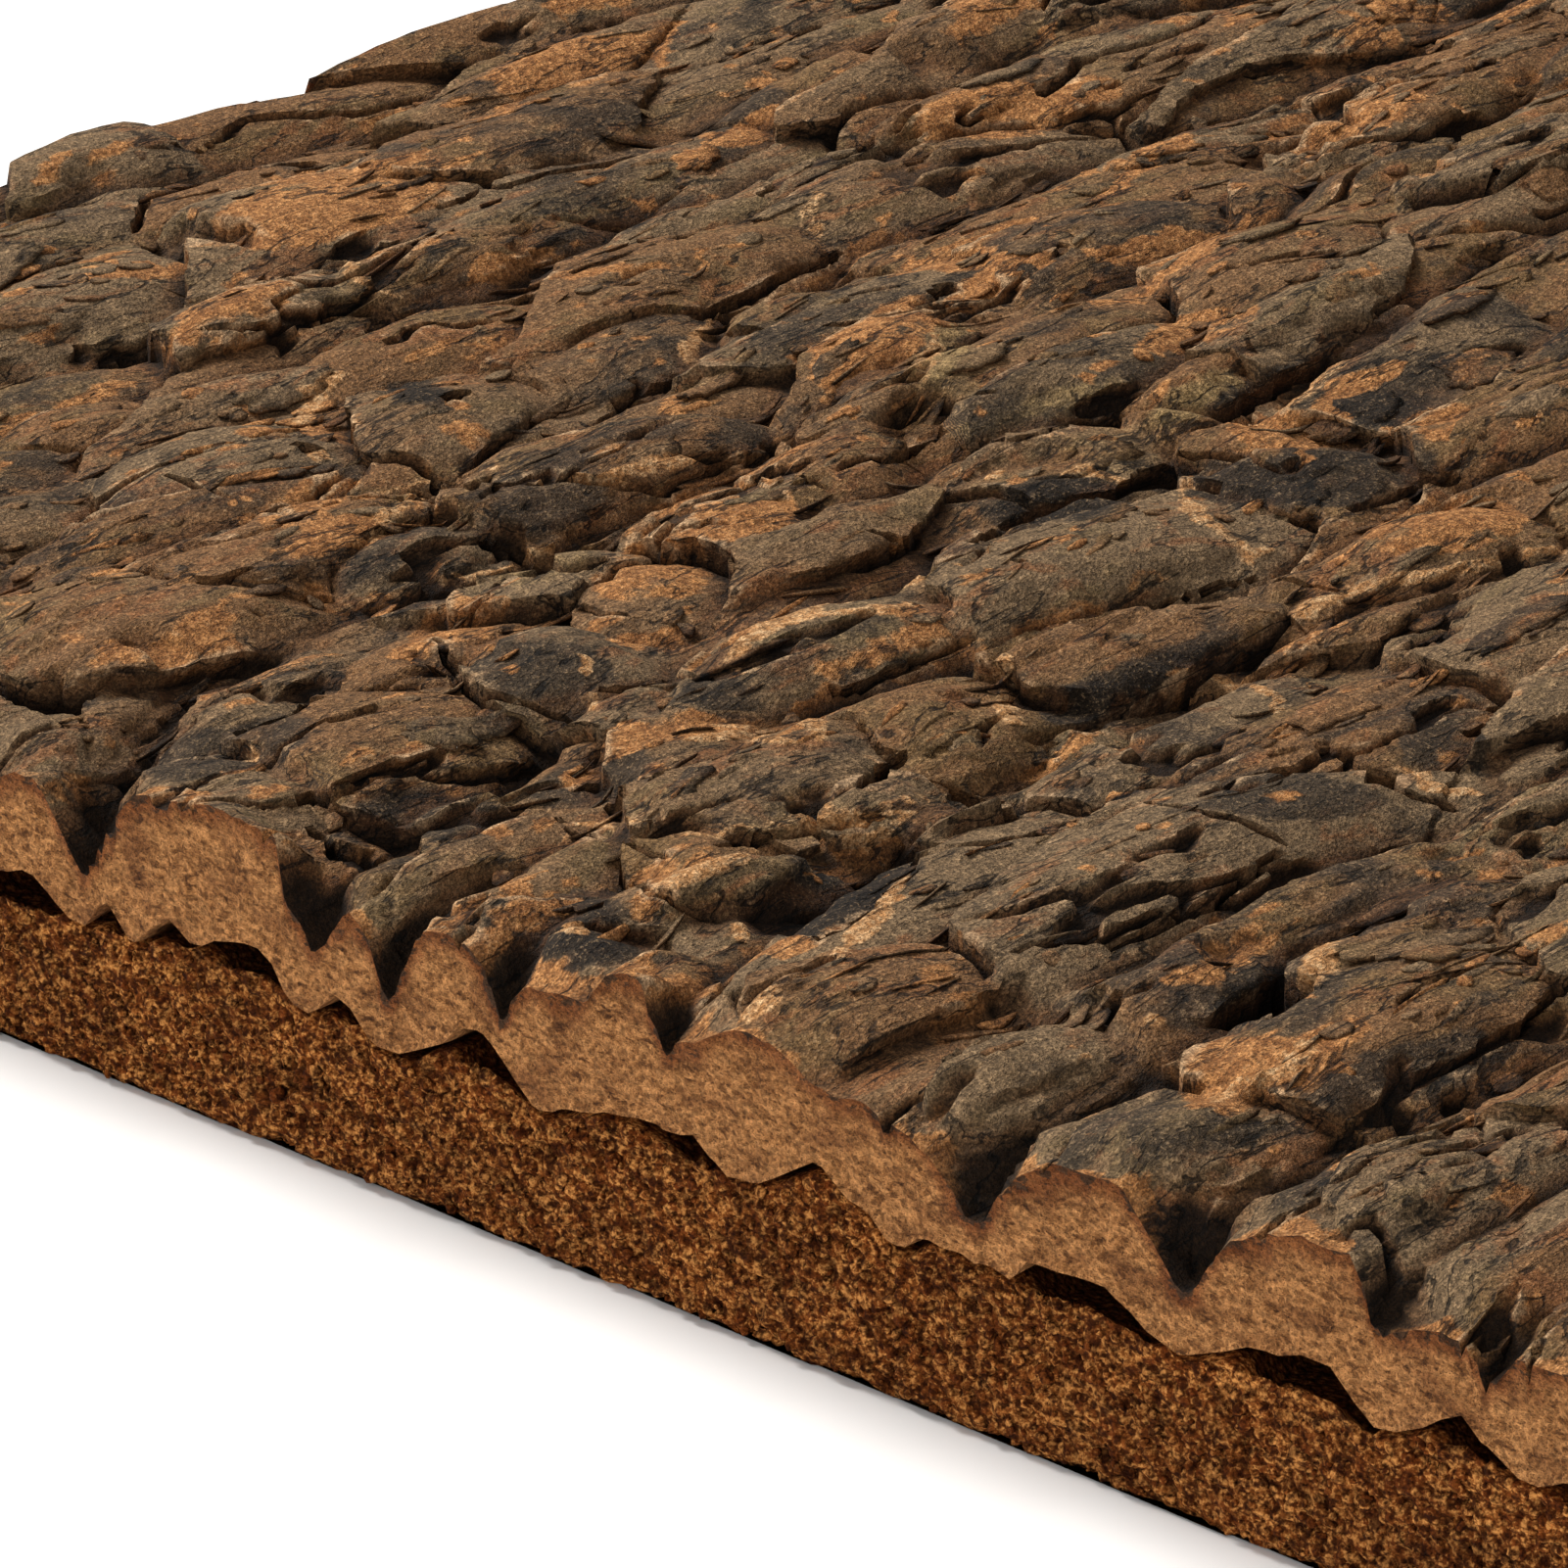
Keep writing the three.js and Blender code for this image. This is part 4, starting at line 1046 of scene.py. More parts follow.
class Sock:
    """A shader value on which sums can be written as plain expressions."""

    def __init__(self, paint: "Paint", socket: bpy.types.NodeSocket) -> None:
        """Wraps a socket of a material that is being made."""
        self.paint = paint
        self.socket = socket

    def sum(self, operation: str, *values: "Sock | float") -> "Sock":
        """Result of a Math node on values in order."""
        return self.paint.add("ShaderNodeMath", {"operation": operation}, dict(enumerate(values)))

    def __add__(self, other: "Sock | float") -> "Sock":
        """Sum."""
        return self.sum("ADD", self, other)

    __radd__ = __add__

    def __sub__(self, other: "Sock | float") -> "Sock":
        """Difference."""
        return self.sum("SUBTRACT", self, other)

    def __rsub__(self, other: "Sock | float") -> "Sock":
        """Difference from a number."""
        return self.sum("SUBTRACT", other, self)

    def __mul__(self, other: "Sock | float") -> "Sock":
        """Product."""
        return self.sum("MULTIPLY", self, other)

    __rmul__ = __mul__

    def part(self) -> "Sock":
        """Part behind the point."""
        return self.sum("FRACT", self)

    def ramp(self, low: float, high: float) -> "Sock":
        """Soft step from 0 at low to 1 at high."""
        inputs = {"Value": self, "From Min": low, "From Max": high}
        return self.paint.add("ShaderNodeMapRange", {"interpolation_type": "SMOOTHSTEP"}, inputs)


def srgb(red: int, green: int, blue: int) -> Colour:
    """Linear colour of an sRGB one.

    Args:
        red: 0 to 255.
        green: 0 to 255.
        blue: 0 to 255.

    Returns:
        Linear red, green, blue and alpha.
    """
    parts = [c / 255 for c in (red, green, blue)]
    linear = [c / 12.92 if c <= 0.04045 else ((c + 0.055) / 1.055) ** 2.4 for c in parts]
    return linear[0], linear[1], linear[2], 1.0


class Paint:
    """One material in the making: a plain Principled surface and what feeds it."""

    def __init__(self, name: str) -> None:
        """Starts a material.

        Args:
            name: the material's name.
        """
        self.material = bpy.data.materials.new(name)
        self.material.use_nodes = True
        self.tree = self.material.node_tree
        self.surface = self.tree.nodes["Principled BSDF"]
        self.place = self.add("ShaderNodeTexCoord", {}, {}, "Object")

    def add(self, kind: str, settings: dict, inputs: dict, output: int | str = 0) -> Sock:
        """Adds one node.

        Args:
            kind: the node's type.
            settings: its properties, set first.
            inputs: values or links of its sockets, by name or number.
            output: the wanted output, by name or number.

        Returns:
            The wanted output.
        """
        node = self.tree.nodes.new(kind)
        for key, value in settings.items():
            setattr(node, key, value)
        for key, value in inputs.items():
            self.feed(node.inputs[key], value)
        return Sock(self, node.outputs[output])

    def feed(self, socket: bpy.types.NodeSocket, value: "Sock | float | tuple") -> None:
        """Links or sets a socket.

        Args:
            socket: the socket to fill.
            value: what goes in.
        """
        if isinstance(value, Sock):
            self.tree.links.new(value.socket, socket)
        else:
            socket.default_value = value

    def chart(self, name: str) -> Sock:
        """Value that the mesh holds at each point under a name."""
        return self.add("ShaderNodeAttribute", {"attribute_name": name}, {}, "Fac")

    def stretched(self, across: float, along: float, up: float) -> Sock:
        """Place on the piece in units of the given lengths in mm."""
        scale = (1 / (across * MM), 1 / (along * MM), 1 / (up * MM))
        return self.add("ShaderNodeVectorMath", {"operation": "MULTIPLY"}, {0: self.place, 1: scale})

    def noise(self, size: tuple[float, float, float], detail: float = 3.0, rough_: float = 0.55,
              twist: float = 0.0) -> Sock:
        """Cloudy noise.

        Args:
            size: lengths of its largest lumps in mm, across, along and up.
            detail: how many finer sizes it holds.
            rough_: strength of the finer sizes.
            twist: how far it is bent by itself.

        Returns:
            Values of about 0.2 to 0.8.
        """
        inputs = {"Vector": self.stretched(*size), "Scale": 1.0, "Detail": detail,
                  "Roughness": rough_, "Distortion": twist}
        return self.add("ShaderNodeTexNoise", {"normalize": True}, inputs, "Fac")

    def cells(self, size: tuple[float, float, float], feature: str = "F1") -> Sock:
        """Distances in a pattern of cells of the given lengths in mm."""
        inputs = {"Vector": self.stretched(*size), "Scale": 1.0, "Randomness": 1.0}
        return self.add("ShaderNodeTexVoronoi", {"feature": feature}, inputs, "Distance")

    def mix(self, share: "Sock | float", first: "Sock | Colour", second: "Sock | Colour",
            blend: str = "MIX") -> Sock:
        """Mixes two colours by the share of the second one."""
        settings = {"data_type": "RGBA", "blend_type": blend, "clamp_factor": True}
        return self.add("ShaderNodeMix", settings, {FACTOR: share, FIRST: first, SECOND: second}, MIXED)

    def coats(self, colour: "Sock | Colour", *layers: "tuple[Sock, Sock | Colour]") -> Sock:
        """Lays colours over a ground colour, one after the other.

        Args:
            colour: the ground colour.
            *layers: share and colour of each layer.

        Returns:
            The colour that results.
        """
        for share, tint in layers:
            colour = self.mix(share, colour, tint)
        return colour

    def shaded(self, colour: Sock, *shades: Sock) -> Sock:
        """Makes a colour darker or lighter by factors, one after the other.

        Args:
            colour: the colour.
            *shades: the factors.

        Returns:
            The shaded colour.
        """
        for shade in shades:
            grey = self.add("ShaderNodeCombineColor", {}, {0: shade, 1: shade, 2: shade})
            colour = self.mix(1.0, colour, grey, "MULTIPLY")
        return colour

    def bumps(self, layers: list[tuple["Sock", float, float]]) -> Sock:
        """Fine relief in several layers.

        Args:
            layers: height, depth in mm and strength of each layer.

        Returns:
            The bent normal.
        """
        normal: Sock | None = None
        for height, depth, strength in layers:
            inputs: dict = {"Height": height, "Distance": depth * MM, "Strength": strength}
            if normal is not None:
                inputs["Normal"] = normal
            normal = self.add("ShaderNodeBump", {}, inputs)
        return normal

    def finish(self, colour: Sock, roughness: "Sock | float", normal: Sock,
               specular: float) -> bpy.types.Material:
        """Fills the surface in.

        Args:
            colour: base colour.
            roughness: roughness.
            normal: bent normal.
            specular: strength of the plain reflection.

        Returns:
            The finished material.
        """
        filled = {"Base Color": colour, "Roughness": roughness, "Specular IOR Level": specular,
                  "Normal": normal}
        for name, value in filled.items():
            self.feed(self.surface.inputs[name], value)
        return self.material


@dataclass(frozen=True)
class CrustFinish:
    """Weathered grey-brown crust with warm flaked places, pale rims and painted dark shade in its clefts."""

    grey: Colour = srgb(120, 97, 70)
    brown: Colour = srgb(122, 87, 54)
    russet: Colour = srgb(136, 84, 46)
    charcoal: Colour = srgb(60, 49, 37)
    olive: Colour = srgb(106, 87, 54)
    warm: Colour = srgb(150, 96, 50)
    orange: Colour = srgb(182, 128, 76)
    rim: Colour = srgb(178, 147, 112)
    torn: Colour = srgb(196, 162, 120)
    skin: Colour = srgb(150, 124, 82)
    soot: Colour = srgb(36, 28, 20)
    fleck: Colour = srgb(168, 138, 102)
    # Colour of the painted warm shade on the flanks of hollows and creases
    umber_shade: Colour = srgb(96, 58, 28)
    # Colour of the painted deep shade in clefts, holes and on steep walls
    cleft: Colour = srgb(24, 13, 4)

    def material(self) -> bpy.types.Material:
        """Builds the material.

        Returns:
            The finished material.
        """
        paint = Paint("weathered_crust")
        patch = paint.noise((12, 28, 12), 4, 0.6)
        blot = paint.noise((4, 11, 4), 4, 0.65, 0.8)
        mould = paint.noise((8, 20, 8), 4, 0.62, 0.5)
        streak = paint.noise((0.9, 7, 2), 3, 0.6)
        fibre = paint.noise((0.6, 1.0, 0.6), 3, 0.7)
        speck = paint.noise((1.0, 1.3, 1.0), 4, 0.8)
        grain = paint.noise((0.25, 0.3, 0.25), 2, 0.7)
        salt = paint.noise((0.34, 0.38, 0.34), 2, 0.7)
        cloudy = paint.noise((6, 16, 6), 5, 0.65, 0.6)
        tone, shade_and_dirt, edge, fresh, torn, soot, skin, scale = (paint.chart(name) for name in WEAR)
        charred = (tone * 7.3).part() * 0.3 + cloudy + soot * 0.5
        bare = fresh + (speck - 0.5) * 0.9 + (streak - 0.5) * 0.6
        warm = paint.mix((speck + streak * 0.4).ramp(0.55, 0.9), self.warm, self.orange)
        worn = (edge + (speck - 0.5) * 1.0).ramp(0.45, 1.0) * (blot + fresh * 0.25).ramp(0.52, 0.66)
        frayed = torn + (speck - 0.5) * 1.1 + (streak - 0.5) * 0.5
        pale = paint.mix(speck.ramp(0.4, 0.7), self.orange, self.torn)
        colour = paint.coats(
            self.grey,
            ((patch * 0.6 + tone * 0.55).ramp(0.4, 0.72), self.brown),
            ((mould + tone * 0.1).ramp(0.55, 0.68) * 0.5, self.olive),
            ((blot + scale * 0.1).ramp(0.58, 0.72) * 0.6, self.russet),
            ((skin + (speck - 0.5) * 0.8).ramp(0.2, 0.9) * 0.8, self.skin),
            (charred.ramp(0.68, 0.84) * 0.85, self.charcoal),
            ((soot + (cloudy - 0.5) * 1.2).ramp(0.5, 0.9) * 0.88, self.soot),
            (bare.ramp(0.36, 0.68) * 0.9, warm),
            (worn * 0.8, self.rim),
            (frayed.ramp(0.26, 0.6) * 0.9, pale),
            ((salt + (speck - 0.5) * 0.4).ramp(0.56, 0.7) * 0.34, self.fleck),
            # Painted warm shade on the flanks of hollows and creases
            ((shade_and_dirt + (speck - 0.5) * 0.2).ramp(0.02, 0.35) * 0.5, self.umber_shade),
            # Painted deep shade, nearly black, in clefts, holes and on steep walls
            (shade_and_dirt.ramp(0.16, 0.8) * 0.94, self.cleft),
        )
        crack = paint.noise((4.2, 24, 6), 4, 0.6, 0.4)
        split = ((crack - 0.5) * (crack - 0.5)).ramp(0.0, 0.0003)
        colour = paint.shaded(
            colour,
            (salt + (grain - 0.5) * 0.4).ramp(0.36, 0.62) * 0.46 + 0.72,
            fibre.ramp(0.32, 0.68) * 0.4 + 0.8,
            speck.ramp(0.3, 0.7) * 0.64 + 0.67,
            (grain + (streak - 0.5) * 0.3).ramp(0.3, 0.7) * 0.7 + 0.66,
            1 - (1 - split) * blot.ramp(0.38, 0.52) * 0.8,
        )
        normal = paint.bumps([(split, 0.4, 0.6), (fibre, 0.7, 0.7), (speck, 0.6, 0.8), (salt, 0.3, 0.7)])
        return paint.finish(colour, 0.92 - 0.14 * speck, normal, 0.22)


@dataclass(frozen=True)
class CutFinish:
    """Sawn bark: tan, fine-grained cork, redder and darker under the crust."""

    pale: Colour = srgb(188, 132, 80)
    tan: Colour = srgb(144, 92, 48)
    brown: Colour = srgb(102, 58, 28)
    rust: Colour = srgb(116, 60, 26)
    crust: Colour = srgb(62, 44, 29)
    pore: Colour = srgb(54, 28, 12)

    def material(self) -> bpy.types.Material:
        """Builds the material.

        Returns:
            The finished material.
        """
        paint = Paint("sawn_cork")
        broad = paint.noise((6, 6, 3.5), 3)
        cloud = paint.noise((1.5, 1.5, 0.9), 4, 0.7, 0.4)
        speck = paint.noise((0.6, 0.6, 0.5), 3, 0.7)
        grain = paint.noise((0.3, 0.3, 0.3), 2, 0.7)
        rind = paint.chart("rind")
        under = rind + (cloud - 0.5) * 1.6 + (broad - 0.5) * 1.2
        spilt = rind + (cloud - 0.5) * 2.2 + (broad - 0.5) * 1.8
        colour = paint.coats(
            self.tan,
            ((cloud + speck * 0.5).ramp(0.55, 0.9), self.pale),
            (broad.ramp(0.46, 0.66) * 0.6, self.brown),
            (under.ramp(0.1, 0.9) * 0.75, self.rust),
            ((cloud - speck * 0.35).ramp(0.26, 0.16) * 0.75, self.pore),
            (spilt.ramp(0.92, 1.12) * 0.9, self.crust),
        )
        colour = paint.shaded(
            colour, speck.ramp(0.28, 0.7) * 0.85 + 0.55, grain.ramp(0.25, 0.75) * 0.6 + 0.7
        )
        normal = paint.bumps([(cloud, 0.9, 0.9), (speck, 0.6, 0.9), (grain, 0.25, 0.8)])
        return paint.finish(colour, 0.93, normal, 0.2)


@dataclass(frozen=True)
class GranuleFinish:
    """Pressed granules from pale tan to dark brown, with painted shade, nearly black, in the pits and the gaps
    between granules.
    """

    pale: Colour = srgb(204, 142, 78)
    middle: Colour = srgb(152, 88, 38)
    dark: Colour = srgb(106, 52, 18)
    # Colour of the painted shade in pits and in the gaps between granules
    pit_shade: Colour = srgb(46, 16, 3)

    def material(self) -> bpy.types.Material:
        """Builds the material.

        Returns:
            The finished material.
        """
        paint = Paint("pressed_granules")
        lumps = paint.cells((0.95, 0.95, 0.85))
        crumbs = paint.cells((0.5, 0.5, 0.45))
        cloud = paint.noise((2.6, 2.6, 1.8), 3, 0.6)
        clumps = paint.cells((5, 5, 3.6), "DISTANCE_TO_EDGE")
        shade = paint.noise((9, 9, 6), 3, 0.6)
        speck = paint.noise((0.5, 0.5, 0.45), 3, 0.75)
        tone, pit_shade = paint.chart("tone"), paint.chart("pit_shade")
        light = speck + (tone - 0.5) * 0.25 - crumbs * 0.12
        gap_shade = lumps * 0.6 + crumbs * 0.7 + (0.5 - speck) * 0.8
        crevice_shade = (clumps + (speck - 0.5) * 0.25).ramp(0.12, 0.0) * cloud.ramp(0.45, 0.6)
        colour = paint.coats(
            self.dark,
            ((tone * 0.6 + cloud * 0.8).ramp(0.35, 0.95), self.middle),
            (light.ramp(0.4, 0.62) * 0.75, self.pale),
            # Painted shade in the gaps between granules, in the pits and in the crevices between clumps
            (gap_shade.ramp(0.5, 0.95) * 0.85, self.pit_shade),
            (pit_shade.ramp(0.2, 1.0) * 0.8, self.pit_shade),
            (crevice_shade * 0.7, self.pit_shade),
        )
        colour = paint.shaded(
            colour, shade.ramp(0.3, 0.7) * 0.5 + 0.77, speck.ramp(0.3, 0.7) * 0.7 + 0.62
        )
        normal = paint.bumps([(1 - lumps, 0.5, 0.9), (1 - crumbs, 0.3, 0.9), (speck, 0.25, 0.8)])
        return paint.finish(colour, 0.9, normal, 0.08)


@dataclass(frozen=True)
class FloorFinish:
    """Plain pale floor."""

    colour: Colour = (0.93, 0.93, 0.93, 1.0)

    def material(self) -> bpy.types.Material:
        """Builds the material.

        Returns:
            The finished material.
        """
        material = bpy.data.materials.new("pale_floor")
        material.use_nodes = True
        surface = material.node_tree.nodes["Principled BSDF"]
        surface.inputs["Base Color"].default_value = self.colour
        surface.inputs["Roughness"].default_value = 0.9
        return material


def place(mesh: bpy.types.Mesh, name: str, materials: list[bpy.types.Material], node: str) -> bpy.types.Object:
    """Puts a finished mesh in the scene for a node of the frame.

    Args:
        mesh: the mesh.
        name: the piece's name.
        materials: its materials in slot order.
        node: the frame's node that it stands for.

    Returns:
        The new piece.
    """
    for material in materials:
        mesh.materials.append(material)
    mesh.polygons.foreach_set("use_smooth", np.ones(len(mesh.polygons), bool))
    piece = bpy.data.objects.new(name, mesh)
    bpy.context.scene.collection.objects.link(piece)
    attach(piece, "root")
    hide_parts(node)
    LOG.info("%s: %d triangles", name, len(mesh.polygons))
    return piece


def points_of(mesh: bpy.types.Mesh) -> Array:
    """Reads the points of a mesh.

    Args:
        mesh: the mesh.

    Returns:
        Its points in mm, one to a row.
    """
    flat = np.empty(len(mesh.vertices) * 3, np.float32)
    mesh.vertices.foreach_get("co", flat)
    return flat.reshape(-1, 3).astype(float) / MM


def move_points(mesh: bpy.types.Mesh, points: Array) -> None:
    """Puts the points of a mesh at places in mm."""
    mesh.vertices.foreach_set("co", (points * MM).astype(np.float32).ravel())
    mesh.update()


def write_chart(mesh: bpy.types.Mesh, name: str, values: Array) -> None:
    """Keeps a value for each point on the mesh."""
    mesh.attributes.new(name, "FLOAT", "POINT").data.foreach_set("value", values.astype(np.float32))


def thinned(mesh: bpy.types.Mesh, wanted: int) -> bpy.types.Mesh:
    """Lowers a mesh's triangle count where it is flattest.

    Args:
        mesh: the fine mesh.
        wanted: triangles to leave.

    Returns:
        The lighter mesh.
    """
    helper = bpy.data.objects.new("thinning", mesh)
    bpy.context.scene.collection.objects.link(helper)
    modifier = helper.modifiers.new("thin", "DECIMATE")
    modifier.ratio = wanted / len(mesh.polygons)
    ready = helper.evaluated_get(bpy.context.evaluated_depsgraph_get())
    light = bpy.data.meshes.new_from_object(ready)
    bpy.data.objects.remove(helper)
    bpy.data.meshes.remove(mesh)
    return light


@dataclass
class BarkSlab:
    """The slab of rough cork bark: crust, sawn sides and scalloped inner face in one closed mesh."""

    relief: Relief
    seam: Seam
    wall_rows: int = 18
    saw_cut: float = 0.24
    triangles: int = 194000
    closer: float = 1.3
    close_middle: float = -12.0
    close_half: float = 100.0
    close_back: float = 45.0
    crust_skin: float = 1.2
    rind: float = 3.2
    sharp_angle: float = 62.0

    def build(self, crust: bpy.types.Material, cut: bpy.types.Material) -> bpy.types.Object:
        """Builds the slab.

        Args:
            crust: material of the crust.
            cut: material of the sawn sides and the inner face.

        Returns:
            The piece.
        """
        relief, weave = self.relief, Weave()
        crown = weave.add(np.stack([relief.x, relief.y, relief.height], -1))
        weave.cover(crown, CRUST)
        rim = Rim(relief.steps)
        top_ring = np.concatenate([crown[0, :-1], crown[:-1, -1], crown[-1, :0:-1], crown[:0:-1, 0]])
        top = relief.read(relief.height, rim.x, rim.y)
        frayed = (Grain.FRAYED_FOOT.at(rim.run, 0 * rim.run) + 0.225) * rim.seam_fade
        foot = self.seam.inner_face(rim.x, rim.y) + frayed
        share = (np.arange(1, self.wall_rows + 1)[:, None] / self.wall_rows) ** 1.25
        z = top + (foot - top) * share
        run = rim.run + 0 * z
        marks = Grain.SAW_MARKS.at(run, z) + Grain.SAW_SCRATCHES.at(run, z) - self.saw_cut
        marks = marks * rim.corner * (share < 1)
        rows = np.vstack([top_ring, weave.add(rim.shifted(marks, z))])
        weave.surround(rows, CUT)
        close_cap(weave, rows[-1], SEAM_CAP, self.seam.inner_face, CUT, up=False)
        mesh = weave.mesh("cork_bark_slab")
        self.stretch(mesh, False)
        mesh = thinned(mesh, self.triangles)
        self.stretch(mesh, True)
        self.dress(mesh)
        return place(mesh, "bark_slab", [crust, cut], "cork_bark")

    def stretch(self, mesh: bpy.types.Mesh, back: bool) -> None:
        """Stretches the heights where the crust is seen closest, so that thinning leaves more there.

        Args:
            mesh: the mesh.
            back: takes the stretch away again.
        """
        points = points_of(mesh)
        x, y, z = points.T
        beside = self.close_half - np.abs(x - self.close_middle)
        close = smooth(beside / 30) * smooth((self.close_back - y) / 60)
        factor = 1 + self.closer * close
        points[:, 2] = z / factor if back else z * factor
        move_points(mesh, points)

    def dress(self, mesh: bpy.types.Mesh) -> None:
        """Undercuts the ledges and writes the wear and the painted shade onto the points.

        Args:
            mesh: the light mesh.
        """
        relief = self.relief
        x, y, z = points_of(mesh).T
        top = relief.read(relief.height, x, y)
        on_crust = np.abs(z - top) < self.crust_skin
        # Wear charts and the painted shade chart, read off the relief
        for name in WEAR:
            write_chart(mesh, name, relief.read(getattr(relief, name), x, y))
        write_chart(mesh, "rind", smooth(1 - (top - z) / self.rind))
        x = x + relief.read(relief.shift_x, x, y) * on_crust
        y = y + relief.read(relief.shift_y, x, y) * on_crust
        move_points(mesh, np.stack([x, y, z], -1))
        mesh.set_sharp_from_angle(angle=math.radians(self.sharp_angle))
        mesh.update()


class Draw(Enum):
    """What is drawn by chance for each flake, and the number that the draw goes by."""

    LENGTH = 2
    WIDTH = 3
    THICKNESS = 4
    LEAN = 5
    TILT_ALONG = 6
    TILT_ACROSS = 7
    WEAR = 8
    TONE = 9
    FRESH = 10
    HOME_ACROSS = 31
    HOME_ALONG = 32
    KEPT = 33


@dataclass
class Flakes:
    """Thin torn scales and slivers that lie on the crust, all in one mesh."""

    relief: Relief
    name: str
    seed: int
    count: int
    corners: int
    length: tuple[float, float]
    width: tuple[float, float]
    thickness: tuple[float, float]
    lift: float
    leaning: float = 16.0
    rings: tuple = ((0.0, 0.25), (0.62, 0.15), (1.0, 0.0), (0.86, -1.0), (0.0, -1.3))
    worn_rings: tuple = (0.0, 0.1, 0.75, 0.3, 0.0)
    # Painted shade of each ring, darkest on the underside that lies on the crust
    underside_shade_rings: tuple = (0.0, 0.0, 0.05, 0.7, 1.0)
    ceiling: float = 31.2

    def luck(self, draw: Draw, low: float = 0.0, high: float = 1.0) -> Array:
        """Column of random numbers, one to a flake, for one of its traits."""
        ids = np.arange(self.count)[:, None]
        return low + (high - low) * chance(ids, np.array(draw.value), self.seed)

    def build(self, crust: bpy.types.Material) -> bpy.types.Object:
        """Builds all flakes.

        Args:
            crust: their material.

        Returns:
            The piece.
        """
        relief, weave = self.relief, Weave()
        home_x, home_y = self.homes()
        long = self.luck(Draw.LENGTH, *self.length) / 2
        wide = self.luck(Draw.WIDTH, *self.width) / 2
        thick = self.luck(Draw.THICKNESS, *self.thickness)
        lean = np.radians(self.luck(Draw.LEAN, -self.leaning, self.leaning))
        turn = np.arange(self.corners)[None, :] * 2 * math.pi / self.corners
        ids = np.arange(self.count)[:, None]
        ragged = 0.8 + 0.35 * chance(ids, np.arange(self.corners)[None, :], self.seed + 1)
        ragged = ragged + 0.2 * swell(ids * 7.7, np.cos(turn) * 2 + 5 * ids, self.seed + 2)
        tilt_along = self.luck(Draw.TILT_ALONG, -1, 1) * self.lift
        tilt_across = self.luck(Draw.TILT_ACROSS, -1, 1) * self.lift
        numbers = []
        for reach, rise in self.rings:
            u, v = np.sin(turn) * reach * ragged, np.cos(turn) * reach * ragged
            across, along = u * wide, v * long
            x = home_x + across * np.cos(lean) - along * np.sin(lean)
            y = home_y + across * np.sin(lean) + along * np.cos(lean)
            ground = relief.read(relief.base, x, y)
            bob = 0.3 * thick * swell(x / 0.9, y / 1.6, self.seed + 3)
            z = ground + thick * (0.55 + rise) + tilt_along * v + tilt_across * u + bob * (rise > -1)
            ring = np.stack([x, y, np.minimum(z, self.ceiling)], -1)
            numbers.append(weave.add(ring if reach else ring[:, :1]))
        for upper, lower in zip(numbers[:-1], numbers[1:]):
            self.band(weave, upper, lower)
        mesh = weave.mesh(self.name)
        self.dress(mesh, numbers, np.concatenate(weave.points))
        return place(mesh, self.name, [crust], "cork_bark")

    def homes(self) -> tuple[Array, Array]:
        """Chooses where the flakes lie, on open ground and clear of the edges.

        Returns:
            Columns of x and y.
        """
        tries = np.arange(6 * self.count)
        x, y, sifted = (chance(tries, np.array(draw.value), self.seed)
                        for draw in (Draw.HOME_ACROSS, Draw.HOME_ALONG, Draw.KEPT))
        x = -HALF + 5 + (2 * HALF - 10) * x
        y = -HALF + 7 + (2 * HALF - 15) * y
        thick = smooth((rough(x / 14, y / 26, self.seed + 5, 2) + 0.35) / 0.5)
        open_ground = self.relief.read(self.relief.steep, x, y) < 0.55
        kept = np.flatnonzero(open_ground & (sifted < thick))
        kept = np.resize(kept, self.count) if len(kept) < self.count else kept[:self.count]
        return x[kept][:, None], y[kept][:, None]

    @staticmethod
    def band(weave: Weave, upper: Array, lower: Array) -> None:
        """Joins two rings of every flake, either of which may be a single point.

        Args:
            weave: the mesh in the making.
            upper: point numbers of the upper ring.
            lower: point numbers of the lower ring.
        """
        wide = max(upper.shape[1], lower.shape[1])
        one, two = (np.broadcast_to(ring, (len(ring), wide)) for ring in (upper, lower))
        one_next, two_next = np.roll(one, -1, 1), np.roll(two, -1, 1)
        for ring, faces in ((lower, (one, two_next, two)), (upper, (one, one_next, two_next))):
            if ring.shape[1] > 1:
                weave.keep(np.stack(faces, -1).reshape(-1, 3), ONLY)

    def dress(self, mesh: bpy.types.Mesh, numbers: list[Array], points: Array) -> None:
        """Writes the wear and the painted shade onto the points.

        Args:
            mesh: the flakes' mesh.
            numbers: point numbers of the rings.
            points: all points.
        """
        relief = self.relief
        tone, edge, fresh, shade_and_dirt = np.zeros((4, len(points)))
        # The lower rings, on each flake's underside, take painted shade
        for ring, worn, underside_shade in zip(numbers, self.worn_rings, self.underside_shade_rings):
            tone[ring] = self.luck(Draw.TONE)
            edge[ring] = worn * self.luck(Draw.WEAR)
            fresh[ring] = smooth((self.luck(Draw.FRESH) - 0.8) / 0.1) * 0.8
            shade_and_dirt[ring] = underside_shade
        # Painted shade and dirt of the crust beneath the flakes
        ground_shade_and_dirt = relief.read(relief.shade_and_dirt, *points.T[:2])
        charts = {"tone": tone, "scale": np.mod(tone * 7.3, 1), "edge": edge, "fresh": fresh,
                  "shade_and_dirt": np.maximum(shade_and_dirt, 0.8 * ground_shade_and_dirt)}
        for name, values in charts.items():
            write_chart(mesh, name, values)
        for name in ("torn", "sooty", "pale"):
            write_chart(mesh, name, relief.read(getattr(relief, name), *points.T[:2]))


